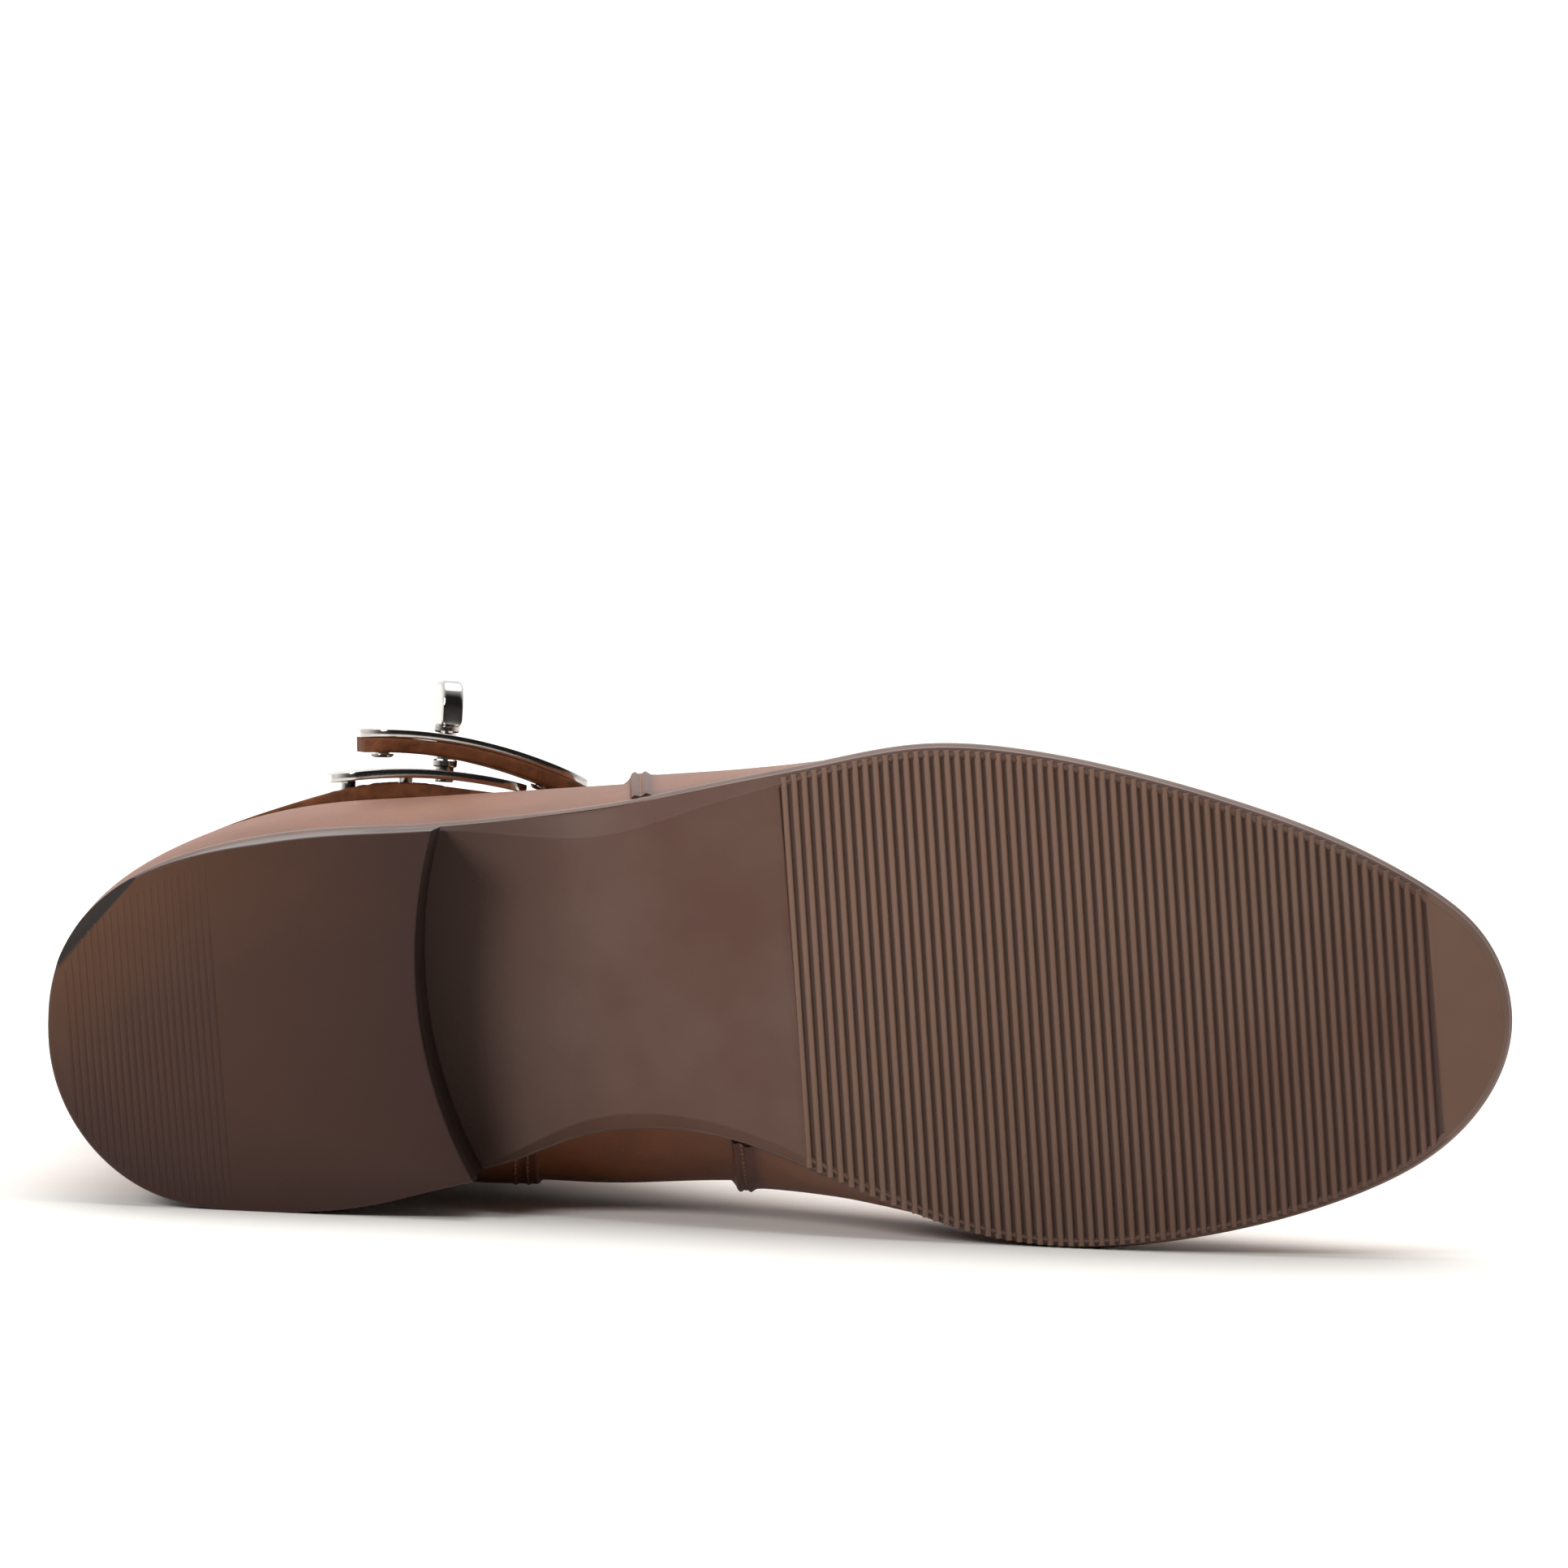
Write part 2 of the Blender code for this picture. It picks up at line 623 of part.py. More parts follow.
def insole(lining, parent):
    """Board inside the upper, on the sole."""
    shares = side_share(SIDE_STEPS)
    sides = np.concatenate([np.full(len(shares), LATERAL), np.full(len(shares) - 2, MEDIAL)])
    along = np.concatenate([shares, shares[-2:0:-1]])
    rings = []
    for rise in (INSOLE_RISE, INSOLE_RISE + INSOLE_THICKNESS):
        base = upper_base(0 * along, along, sides)
        normal = upper_normal(0 * along, along, sides)
        flat = normal * (1, 1, 0)
        flat /= np.linalg.norm(flat, axis=1, keepdims=True)
        ring = base - flat * (LEATHER + 4 * FIT_GAP)
        ring[:, 2] = sole_top_z(ring[:, 0]) + rise
        rings.append(ring)
    return finish_object("insole", ring_solid("insole", rings), lining, parent)


def shaft_point(share, side, height):
    """Point on the shaft's face, and its outward direction, at a height up the leg."""
    levels = np.linspace(0.4, 1, 200)
    heights = upper_base(levels, share, side)[:, 2]
    level = np.interp(height, heights, levels)
    return upper_base(level, share, side), upper_normal(level, share, side)


def strap_z(share):
    """Height of the strap's middle, which climbs from the heel to the instep."""
    return STRAP_BACK_Z + (STRAP_FRONT_Z - STRAP_BACK_Z) * share


def strap_clear(share, x, row=0.0):
    """Air between shaft and strap: a little all round, more at the instep and under the stiff clasp.

    The shaft leans out below the strap, so the flat band has less air at its lower edge.
    """
    slack = np.interp(row, (-STRAP_WIDTH / 2, 0), (CLASP_SLACK_LOW, CLASP_SLACK))
    under_clasp = slack * np.exp(-(((x - CLASP_SLACK_X) / CLASP_SLACK_LENGTH) ** 2))
    return STRAP_OVER_UPPER + STRAP_FRONT_SLACK * share**2 + under_clasp


def turn_at(x, row):
    """Turn round the shaft's outer side at a distance from the heel's back, on one row of the strap."""
    turns = np.linspace(0.5, 2.6, 300)
    shares = (1 - np.cos(turns)) / 2
    found = [shaft_point(share, LATERAL, strap_z(share) + row)[0][0] for share in shares]
    return float(np.interp(x, found, turns))


def post_frame():
    """Place and directions of the clasp: along the strap to the toe, up the leg, and off the boot."""
    share = (1 - math.cos(turn_at(POST_X, 0))) / 2
    foot, _ = shaft_point(share, LATERAL, strap_z(share))
    off = Vector((math.sin(POST_LEAN), -math.cos(POST_LEAN), 0)) * math.cos(POST_RISE)
    off.z = math.sin(POST_RISE)
    climb = (STRAP_FRONT_Z - STRAP_BACK_Z) / STRAP_RUN
    along = Vector((math.cos(POST_LEAN), math.sin(POST_LEAN), climb))
    along = (along - off * along.dot(off)).normalized()
    up = off.cross(along)
    start = Vector(foot) + off * (strap_clear(share, foot[0]) + STRAP_THICKNESS)
    return Matrix(
        (
            (along.x, up.x, off.x, start.x),
            (along.y, up.y, off.y, start.y),
            (along.z, up.z, off.z, start.z),
            (0, 0, 0, 1),
        )
    )


def strap_top(along, clasp):
    """Height of the strap's inner turn at a place along the clasp, in the clasp's frame."""
    share = (1 - math.cos(turn_at((clasp @ Vector((along, 0, 0))).x, 0))) / 2
    point, normal = shaft_point(share, LATERAL, strap_z(share))
    off = normal * (strap_clear(share, point[0]) + STRAP_THICKNESS)
    return (clasp.inverted() @ Vector(point + off)).z


def plate_height(along):
    """Top of the clasp plate off the strap: an arc, tipped down towards the toe."""
    return PLATE_TOP + math.tan(PLATE_TILT) * along - along**2 / (2 * PLATE_RADIUS)


def base_height(along):
    """Top of the clasp's base, an arc about a point a little behind the post."""
    centre = (BASE_BACK + BASE_FRONT) / 2
    return BASE_TOP + (centre**2 - (along - centre) ** 2) / (2 * BASE_RADIUS)


def strap(leather, parent, clasp):
    """Band wound round the shaft from its inner end on the outer side, ending under the clasp plate."""
    rows = np.array([-1, 0, 1]) * STRAP_WIDTH / 2
    starts = [turn_at(STRAP_START_X, row) for row in rows]
    leaves = math.acos(1 - 2 * STRAP_LEAVES_SHARE)
    inside, outside = [], []
    for turn in np.linspace(-1, 2 * math.pi - leaves, STRAP_STEPS):
        side = LATERAL if turn < 0 or turn > math.pi else MEDIAL
        share = (1 - math.cos(turn * starts[1] if turn < 0 else turn)) / 2
        _, facing = shaft_point(share, side, strap_z(share))
        lean = math.sqrt(1 - facing[2] ** 2)  # the band keeps its width where the shaft leans
        near, far = [], []
        for row, start in zip(rows, starts):
            # The inner end is cut square, so its rows set out from turns of their own.
            row_share = (1 - math.cos(turn * start)) / 2 if turn < 0 else share
            point, normal = shaft_point(row_share, side, strap_z(row_share) + row * lean)
            clear = strap_clear(row_share, point[0], row) if side == LATERAL else strap_clear(share, 0)
            near.append(point + normal * clear)
            far.append(point + normal * (clear + STRAP_THICKNESS))
        inside.append(np.array(near))
        outside.append(np.array(far))
    # The outer end runs off the shaft in a smooth bend and lies under the plate.
    up = clasp.col[1].to_3d()
    leave = (inside[-1][1] + outside[-1][1]) / 2
    leaving = Vector(leave - (inside[-2][1] + outside[-2][1]) / 2).normalized()
    end_along = np.linspace(PLATE_FRONT - 2 * MM, PLATE_BACK + 0.6 * MM, 16)
    below_plate = PLATE_THICKNESS + FIT_GAP + STRAP_THICKNESS / 2
    middle = [clasp @ Vector((a, 0, plate_height(a) - below_plate)) for a in end_along]
    arriving = (middle[1] - middle[0]).normalized()
    span = (middle[0] - Vector(leave)).length
    bridge = []
    for u in np.linspace(0, 1, 6)[1:-1]:
        bridge.append(
            Vector(leave) * (1 - u) ** 3
            + (Vector(leave) + leaving * span / 3) * 3 * u * (1 - u) ** 2
            + (middle[0] - arriving * span / 3) * 3 * u**2 * (1 - u)
            + middle[0] * u**3
        )
    free = bridge + middle
    for i, point in enumerate(free):
        before = Vector(leave) if i == 0 else free[i - 1]
        after = free[min(i + 1, len(free) - 1)]
        heading = (after - before).normalized()
        off = up.cross(heading).normalized()
        blend = min(1.0, (i + 1) / (len(bridge) + 1))
        start_rows = (inside[STRAP_STEPS - 1] + outside[STRAP_STEPS - 1]) / 2 - leave
        flat_rows = np.array([up * row for row in rows])
        across = start_rows * (1 - blend) + flat_rows * blend
        if i >= len(free) - 3:
            left = (len(free) - 1 - i) / 3
            across = across * (1 - STRAP_END_ROUND / STRAP_WIDTH * (1 - left) ** 2)
        centre = np.array(point)
        inside.append(centre + across - np.array(off) * STRAP_THICKNESS / 2)
        outside.append(centre + across + np.array(off) * STRAP_THICKNESS / 2)
    rings = [np.vstack([near, far[::-1]]) for near, far in zip(inside, outside)]
    points, faces = stacked_rings(rings)
    count = len(rings[0])
    faces.append(tuple(range(count)))
    faces.append(tuple(range(len(points) - count, len(points))))
    return finish_object("ankle_strap", mesh_from("ankle_strap", points, faces), leather, parent)


def bent_plate(name, back, front, width, thickness, top, corner):
    """Thin plate along the strap, bent to the height that top gives, with clipped round corners."""
    rings = []
    for a in back + (front - back) * side_share(PLATE_STEPS):
        to_end = min(a - back, front - a)
        trim = corner - math.sqrt(max(corner**2 - max(corner - to_end, 0) ** 2, 0))
        half = width / 2 - trim
        high = top(a)
        rings.append(
            np.array(
                [
                    (a, -half, high - thickness),
                    (a, half, high - thickness),
                    (a, half, high),
                    (a, -half, high),
                ]
            )
        )
    points, faces = stacked_rings(rings)
    faces += [(0, 1, 2, 3), tuple(range(len(points) - 4, len(points)))]
    return mesh_from(name, points, faces)


def rod(name, radius, low, high, parent, place=(0, 0, 0), slope=0.0):
    """Round bar or cutter that stands off the boot in the clasp's frame; low and high are along it."""
    middle = Matrix.Translation((0, 0, (low + high) / 2))
    shape = bmesh.new()
    bmesh.ops.create_cone(
        shape,
        cap_ends=True,
        segments=ROUND_SIDES,
        radius1=radius,
        radius2=radius,
        depth=high - low,
        matrix=Matrix.Translation(place) @ Matrix.Rotation(slope, 4, "Y") @ middle,
    )
    mesh = bpy.data.meshes.new(name)
    shape.to_mesh(mesh)
    shape.free()
    return tool(name, mesh, parent)


def slot_cutter(name, extra, parent):
    """Slot with round ends, along the strap, that the toggle passes when it is turned in line."""
    half, radius = (SLOT_LENGTH - SLOT_WIDTH) / 2, SLOT_WIDTH / 2 + extra
    ring = []
    for i in range(ROUND_SIDES):
        angle = 2 * math.pi * (i + 0.5) / ROUND_SIDES
        x = radius * math.cos(angle)
        ring.append((x + math.copysign(half, x), radius * math.sin(angle)))
    low, high = BASE_TOP, PLATE_TOP + 4 * MM
    points, faces = stacked_rings([np.array([(x, y, z) for x, y in ring]) for z in (low, high)])
    faces += [tuple(range(ROUND_SIDES)), tuple(range(ROUND_SIDES, 2 * ROUND_SIDES))]
    return tool(name, mesh_from(name, points, faces), parent)


def clasp_base(metal, clasp, band):
    """Bent bar on two rivets through the strap's inner end, with a hole for the toggle's post."""
    mesh = bent_plate(
        "clasp_base", BASE_BACK, BASE_FRONT, BASE_WIDTH, BASE_THICKNESS, base_height, BASE_CORNER
    )
    base = finish_object("clasp_base", mesh, metal, clasp)
    for number, along in enumerate(BASE_LEGS):
        place = (along, 0, 0)
        inside_base = base_height(along) - 0.4 * MM
        in_strap = strap_top(along, post_frame()) - 0.8 * STRAP_THICKNESS
        leg = rod(f"base_leg_{number}", RIVET_RADIUS, in_strap, inside_base, clasp, place)
        hole = rod(f"base_hole_{number}", RIVET_RADIUS + FIT_GAP, -8 * MM, 2 * MM, clasp, place)
        combine(base, leg, "UNION")
        combine(band, hole, "DIFFERENCE")
    hole = rod("post_hole", POST_RADIUS + FIT_GAP, -1 * MM, BASE_TOP + 4 * MM, clasp)
    combine(base, hole, "DIFFERENCE")


def clasp_plate(metal, clasp, band):
    """Bent plate riveted on the strap's outer end, with the slot that drops over the toggle."""
    mesh = bent_plate(
        "clasp_plate", PLATE_BACK, PLATE_FRONT, PLATE_WIDTH, PLATE_THICKNESS, plate_height, PLATE_CORNER
    )
    plate = finish_object("clasp_plate", mesh, metal, clasp)
    under = -PLATE_THICKNESS - STRAP_THICKNESS - 2 * FIT_GAP
    for number, along in enumerate(PLATE_RIVETS):
        place = (along, 0, plate_height(along))
        slope = math.atan(along / PLATE_RADIUS - math.tan(PLATE_TILT))
        shank = rod(f"shank_{number}", RIVET_RADIUS, under - 0.4 * MM, -0.4 * MM, clasp, place, slope)
        head = rod(f"head_{number}", RIVET_HEAD, under - RIVET_HEAD_HEIGHT, under, clasp, place, slope)
        wide = RIVET_RADIUS + FIT_GAP
        hole = rod(f"plate_hole_{number}", wide, under - 1 * MM, 1 * MM, clasp, place, slope)
        combine(plate, shank, "UNION")
        combine(plate, head, "UNION")
        combine(band, hole, "DIFFERENCE")
    combine(plate, slot_cutter("plate_slot", 0, clasp), "DIFFERENCE")
    combine(band, slot_cutter("strap_slot", 0.4 * MM, clasp), "DIFFERENCE")


def clasp_toggle(metal, clasp):
    """Post with two rings and a rounded tab set across the slot; its origin is on the post's axis."""
    collar_low = plate_height(0) + FIT_GAP
    tab_low = collar_low + COLLAR_HEIGHT
    soft = TOGGLE_EDGE
    rings = []
    for u in np.linspace(0, 1, TOGGLE_STEPS):
        across = (u - 0.5) * TOGGLE_LENGTH
        bulge = math.sqrt(max(1 - (2 * u - 1) ** 4, 0.02))
        half = TOGGLE_THICKNESS / 2 * (0.9 + 0.1 * bulge)
        top = tab_low + TOGGLE_HEIGHT * (0.45 + 0.55 * bulge)
        low = tab_low + TOGGLE_HEIGHT * 0.08 * (1 - bulge)
        profile = [
            (-half + soft, low),
            (half - soft, low),
            (half, low + soft),
            (half, top - soft),
            (half - soft, top),
            (-half + soft, top),
            (-half, top - soft),
            (-half, low + soft),
        ]
        rings.append(np.array([(a, across, h) for a, h in profile]))
    points, faces = stacked_rings(rings)
    count = len(rings[0])
    faces += [tuple(range(count)), tuple(range(len(points) - count, len(points)))]
    made = finish_object("clasp_toggle", mesh_from("clasp_toggle", points, faces), metal, clasp)
    combine(made, rod("toggle_post", POST_RADIUS, POST_FOOT, tab_low + soft, clasp), "UNION")
    combine(made, rod("toggle_collar", COLLAR_RADIUS, collar_low, tab_low + 0.6 * soft, clasp), "UNION")
    flange_high = plate_height(0) - PLATE_THICKNESS - STRAP_THICKNESS - 2 * FIT_GAP
    flange = rod("toggle_flange", FLANGE_RADIUS, flange_high - FLANGE_HEIGHT, flange_high, clasp)
    combine(made, flange, "UNION")


def solid_points(piece, graph):
    """Every evaluated point of a piece in the boot's frame, and the piece's volume."""
    shape = bmesh.new()
    shape.from_object(piece, graph)
    points = [piece.matrix_world @ v.co for v in shape.verts]
    volume = shape.calc_volume()
    shape.free()
    return points, volume


def lay_down(root):
    """Turns the empty so that the boot rests on its inner side, centred over the origin."""
    bpy.context.view_layer.update()
    graph = bpy.context.evaluated_depsgraph_get()
    pieces = [p for p in root.children_recursive if p.type == "MESH" and not p.hide_render]
    cloud, everything = bmesh.new(), []
    weight, moment = 0.0, Vector()
    for piece in pieces:
        points, volume = solid_points(piece, graph)
        weight += volume
        moment += sum(points, Vector()) / len(points) * volume
        everything += points
    for point in everything:
        cloud.verts.new(point)
    bmesh.ops.convex_hull(cloud, input=cloud.verts)
    cloud.normal_update()
    centre = moment / weight
    inner_side = [face for face in cloud.faces if face.normal.y > 0.5]
    floor = min(inner_side, key=lambda face: face.normal.dot(face.verts[0].co - centre))
    down = floor.normal.copy()
    cloud.free()
    # X lies along the boot in the floor's plane, square to the leg.
    along = down.cross(Vector((0, 0, 1))).normalized()
    turn = Matrix((along, (-down).cross(along), -down)).to_4x4()
    turned = np.array([turn @ point for point in everything])
    low, high = turned.min(axis=0), turned.max(axis=0)
    shift = (-(low[0] + high[0]) / 2, -(low[1] + high[1]) / 2, -low[2])
    root.matrix_world = Matrix.Translation(shift) @ turn


def build():
    for old in list(bpy.data.objects):
        bpy.data.objects.remove(old)
    root = bpy.data.objects.new("boot", None)
    clasp = bpy.data.objects.new("clasp", None)
    clasp.parent = root
    clasp.matrix_local = post_frame()
    for empty in (root, clasp):
        bpy.context.scene.collection.objects.link(empty)
    steel = (0.62, 0.60, 0.58)
    sole_brown = (0.10, 0.042, 0.028)
    outsole(material("outsole_rubber", sole_brown, 0.55), root)
    heel(
        material("heel_block_gloss", (0.085, 0.036, 0.025), 0.3),
        material("top_piece_rubber", sole_brown, 0.6),
        root,
    )
    insole(material("insole_leather", (0.45, 0.30, 0.18), 0.8), root)
    upper(material("upper_leather", (0.27, 0.10, 0.055), 0.4), root)
    band = strap(material("strap_leather", (0.20, 0.075, 0.035), 0.5), root, post_frame())
    clasp_base(material("base_steel", steel, 0.15, 1.0), clasp, band)
    clasp_plate(material("plate_steel", steel, 0.12, 1.0), clasp, band)
    clasp_toggle(material("toggle_steel", steel, 0.10, 1.0), clasp)
    lay_down(root)


build()
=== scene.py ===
# %% [markdown]
# # A strapped ankle boot, lying on its side
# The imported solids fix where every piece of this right-foot boot is and how large it is. They are plain:
# one surface per piece, with few faces. Here each piece is made again, finely, in the same place: rounded
# edges, a ribbed tread, rolled leather edges, stitches, creases and a finish for each material.

# %% Load the frame
import json
import math

import bmesh
import bpy
import numpy as np
from mathutils import Matrix, Vector


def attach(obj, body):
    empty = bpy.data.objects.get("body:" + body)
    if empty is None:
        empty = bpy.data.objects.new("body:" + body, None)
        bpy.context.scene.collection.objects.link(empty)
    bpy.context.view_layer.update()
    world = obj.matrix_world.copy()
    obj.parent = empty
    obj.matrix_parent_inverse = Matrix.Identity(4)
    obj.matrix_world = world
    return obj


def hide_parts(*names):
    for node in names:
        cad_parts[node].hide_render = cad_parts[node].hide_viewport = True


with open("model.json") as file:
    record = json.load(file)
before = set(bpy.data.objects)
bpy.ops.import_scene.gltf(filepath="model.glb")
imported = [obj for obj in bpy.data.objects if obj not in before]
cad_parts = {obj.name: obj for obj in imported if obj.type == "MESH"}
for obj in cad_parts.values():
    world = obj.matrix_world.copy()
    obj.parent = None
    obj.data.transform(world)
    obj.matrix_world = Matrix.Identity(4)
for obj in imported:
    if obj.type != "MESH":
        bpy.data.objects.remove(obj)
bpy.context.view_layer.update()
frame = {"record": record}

MM = 0.001

# %% [markdown]
# ## The boot's own axes
# A shoemaker measures a boot standing up: X from the back of the heel to the toe, Y to the inner side and
# Z up the leg, with the tread at Z = 0. The boot lies on its inner side here, so one matrix turns those
# measures into the scene. It comes from the two flat tread faces that the record states, so nothing is
# fitted by eye: their places on the standing boot are known.

# %% Matrix from the standing boot to the scene
HEEL_SPOT = Vector((35, 1, 0)) * MM
BALL_SPOT = Vector((170, 6, 0)) * MM


def boot_matrix():
    mounts = {mount["name"]: mount for mount in frame["record"]["mounts"]}
    heel = Vector(mounts["heel_tread"]["pos_m"])
    ball = Vector(mounts["forefoot_tread"]["pos_m"])
    up = -Vector(mounts["heel_tread"]["axis"]).normalized()
    run = BALL_SPOT - HEEL_SPOT
    along = Matrix.Rotation(-math.atan2(run.y, run.x), 3, up) @ (ball - heel)
    along = (along - up * along.dot(up)).normalized()
    turn = Matrix((along, up.cross(along), up)).transposed()
    return Matrix.Translation(heel - turn @ HEEL_SPOT) @ turn.to_4x4()


BOOT = boot_matrix()
print("heel back in the scene, mm:", [round(v / MM, 1) for v in BOOT.translation])

# %% [markdown]
# ## Camera
# The sole faces the lens, seen a little from the outer side, and the picture is rolled a few degrees. The
# camera stands well back with a long lens, so the boot is drawn almost without perspective. Its place is
# worked out from the boot's own axes: that keeps the angle to the shoe whatever way the shoe lies.

# %% Place the camera
IMAGE_SIDE = 1932  # pixels
PIXELS_PER_MM = 6.94  # at the tread
CAMERA_DISTANCE = 8.0
CAMERA_TO_OUTER_SIDE = math.radians(5.5)
CAMERA_ROLL = math.radians(4.6)
AIM = Vector((134.1, -35.2, 0)) * MM


def place_camera():
    back = Vector((0, -math.sin(CAMERA_TO_OUTER_SIDE), -math.cos(CAMERA_TO_OUTER_SIDE)))
    outer = Vector((0, -math.cos(CAMERA_TO_OUTER_SIDE), math.sin(CAMERA_TO_OUTER_SIDE)))
    toe = Vector((1, 0, 0))
    right = toe * math.cos(CAMERA_ROLL) - outer * math.sin(CAMERA_ROLL)
    up = toe * math.sin(CAMERA_ROLL) + outer * math.cos(CAMERA_ROLL)
    turn = BOOT.to_3x3() @ Matrix((right, up, back)).transposed()
    lens = bpy.data.cameras.new("camera")
    lens.lens = lens.sensor_width * PIXELS_PER_MM / MM * CAMERA_DISTANCE / IMAGE_SIDE
    camera = bpy.data.objects.new("camera", lens)
    place = BOOT @ (AIM + back * CAMERA_DISTANCE)
    camera.matrix_world = Matrix.Translation(place) @ turn.to_4x4()
    bpy.context.scene.collection.objects.link(camera)
    bpy.context.scene.camera = camera
    print("camera height over the floor, mm:", round(place.z / MM), "lens, mm:", round(lens.lens, 1))


place_camera()

# %% [markdown]
# ## Floor and light
# The boot lies on a white floor under large soft lamps. One lamp hangs overhead, for the outer side that
# faces up. One stands in front and to the left, so that the heel shades the waist beside it and the left
# flank of each tread rib is lit. The white room around fills the shadows. Colours are shown as they are,
# with no film curve, so that white paper stays white.

# %% Nodes, colours, floor and lamps
bpy.context.scene.view_settings.view_transform = "Standard"


def linear(hex_colour):
    """Linear colour of an sRGB hex value."""
    parts = [int(hex_colour[i : i + 2], 16) / 255 for i in (1, 3, 5)]
    return tuple(c / 12.92 if c <= 0.04045 else ((c + 0.055) / 1.055) ** 2.4 for c in parts) + (1.0,)


def add(tree, kind, inputs=None, **settings):
    """Adds a node with its settings; an input is a value or another node's output."""
    node = tree.nodes.new(kind)
    for name, value in settings.items():
        setattr(node, name, value)
    for name, value in (inputs or {}).items():
        if isinstance(value, bpy.types.NodeSocket):
            tree.links.new(value, node.inputs[name])
        else:
            node.inputs[name].default_value = value
    return node


def finish(name, **sockets):
    """Material with one Principled shader, whose constant sockets are set here."""
    made = bpy.data.materials.new(name)
    made.use_nodes = True
    shader = made.node_tree.nodes["Principled BSDF"]
    for label, value in sockets.items():
        shader.inputs[label.replace("_", " ")].default_value = value
    return made, made.node_tree, shader


def white_floor():
    """Painted studio floor: matt and almost white."""
    made, tree, shader = finish("matt_white_paint", Roughness=0.9, Specular_IOR_Level=0.2)
    place = add(tree, "ShaderNodeTexCoord")
    cloud = add(tree, "ShaderNodeTexNoise", {"Vector": place.outputs["Object"], "Scale": 1.5})
    tone = {0: cloud.outputs["Fac"], 6: linear("#f4f1ec"), 7: linear("#f8f5f1")}
    mix = add(tree, "ShaderNodeMix", tone, data_type="RGBA")
    tree.links.new(mix.outputs[2], shader.inputs["Base Color"])
    mesh = bpy.data.meshes.new("floor")
    reach = 30.0
    corners = [(-reach, -reach, 0), (reach, -reach, 0), (reach, reach, 0), (-reach, reach, 0)]
    mesh.from_pydata(corners, [], [(0, 1, 2, 3)])
    mesh.materials.append(made)
    floor = bpy.data.objects.new("floor", mesh)
    bpy.context.scene.collection.objects.link(floor)


def studio_room(front, back):
    """Room light by direction: dim in front of the boot, where the lens stands, and white behind it."""
    world = bpy.data.worlds.new("studio_room")
    bpy.context.scene.world = world
    world.use_nodes = True
    tree = world.node_tree
    way = add(tree, "ShaderNodeSeparateXYZ", {0: add(tree, "ShaderNodeTexCoord").outputs["Generated"]})
    spread = {"Value": way.outputs["Y"], "From Min": -0.7, "From Max": 0.3, "To Min": front, "To Max": back}
    strength = add(tree, "ShaderNodeMapRange", spread)
    tree.links.new(strength.outputs[0], tree.nodes["Background"].inputs["Strength"])
    tree.nodes["Background"].inputs["Color"].default_value = (1, 1, 1, 1)


def soft_lamp(name, place, size, watts, aim=(0, 0, 0.04)):
    light = bpy.data.lights.new(name, "AREA")
    light.shape = "DISK"
    light.size = size
    light.energy = watts
    lamp = bpy.data.objects.new(name, light)
    lamp.location = place
    lamp.rotation_euler = (Vector(aim) - Vector(place)).to_track_quat("-Z", "Y").to_euler()
    bpy.context.scene.collection.objects.link(lamp)


white_floor()
studio_room(0.02, 1.15)
soft_lamp("overhead_lamp", (0, 1.4, 3.0), 4.4, 92, aim=(0, 1.4, 0))
soft_lamp("front_left_lamp", (-1.9, -2.4, 1.5), 1.1, 68)
print("floor, room and lamps are in place")

# %% [markdown]
# ## The last: curves through a few sizes
# A last is the form that a shoe is built on, and every piece of this boot follows it. The same short tables
# that shape the solids shape the fine pieces, so both have one form. Two curves run through a table: one
# bends like a batten, for outlines, and one never overshoots, for heights that have to stay level.

# %% Curves
LATERAL, MEDIAL = -1, 1  # the outer and the inner side of the foot, as the sign of Y


def hermite(knots, values, slopes, at):
    """Cubic through the knots with the given slopes."""
    place = np.clip(np.searchsorted(knots, at, side="right") - 1, 0, len(knots) - 2)
    step = knots[place + 1] - knots[place]
    u = (at - knots[place]) / step
    return (
        values[place] * (1 + 2 * u) * (1 - u) ** 2
        + slopes[place] * step * u * (1 - u) ** 2
        + values[place + 1] * u**2 * (3 - 2 * u)
        + slopes[place + 1] * step * u**2 * (u - 1)
    )


def flowing(knots, values, at):
    """Curve through the knots with no jump in its curvature, as a batten bends."""
    knots, values = np.asarray(knots, float), np.asarray(values, float)
    steps, rates = np.diff(knots), np.diff(values) / np.diff(knots)
    size = len(knots)
    system, right = np.zeros((size, size)), np.zeros(size)
    for i in range(1, size - 1):
        system[i, i - 1 : i + 2] = steps[i], 2 * (steps[i - 1] + steps[i]), steps[i - 1]
        right[i] = 3 * (rates[i - 1] * steps[i] + rates[i] * steps[i - 1])
    system[0, :2], right[0] = (2, 1), 3 * rates[0]
    system[-1, -2:], right[-1] = (1, 2), 3 * rates[-1]
    return hermite(knots, values, np.linalg.solve(system, right), np.asarray(at, float))


def level_keeping(knots, values, at):
    """Curve through the knots that never overshoots."""
    knots, values = np.asarray(knots, float), np.asarray(values, float)
    rates = np.diff(values) / np.diff(knots)
    slopes = np.zeros(len(knots))
    same_way = rates[:-1] * rates[1:] > 0
    harmonic = 2 * rates[:-1] * rates[1:] / np.where(same_way, rates[:-1] + rates[1:], 1)
    slopes[1:-1] = np.where(same_way, harmonic, 0)
    slopes[0], slopes[-1] = rates[0], rates[-1]
    at = np.clip(np.asarray(at, float), knots[0], knots[-1])
    return hermite(knots, values, slopes, at)


def column(table, index):
    return np.array([row[index] for row in table], float) * MM


def eased(value):
    """Smooth climb from 0 to 1."""
    u = np.clip(value, 0, 1)
    return u * u * (3 - 2 * u)


def bell(value, middle, width):
    """Hump of height 1 about a middle."""
    return np.exp(-(((value - middle) / width) ** 2))


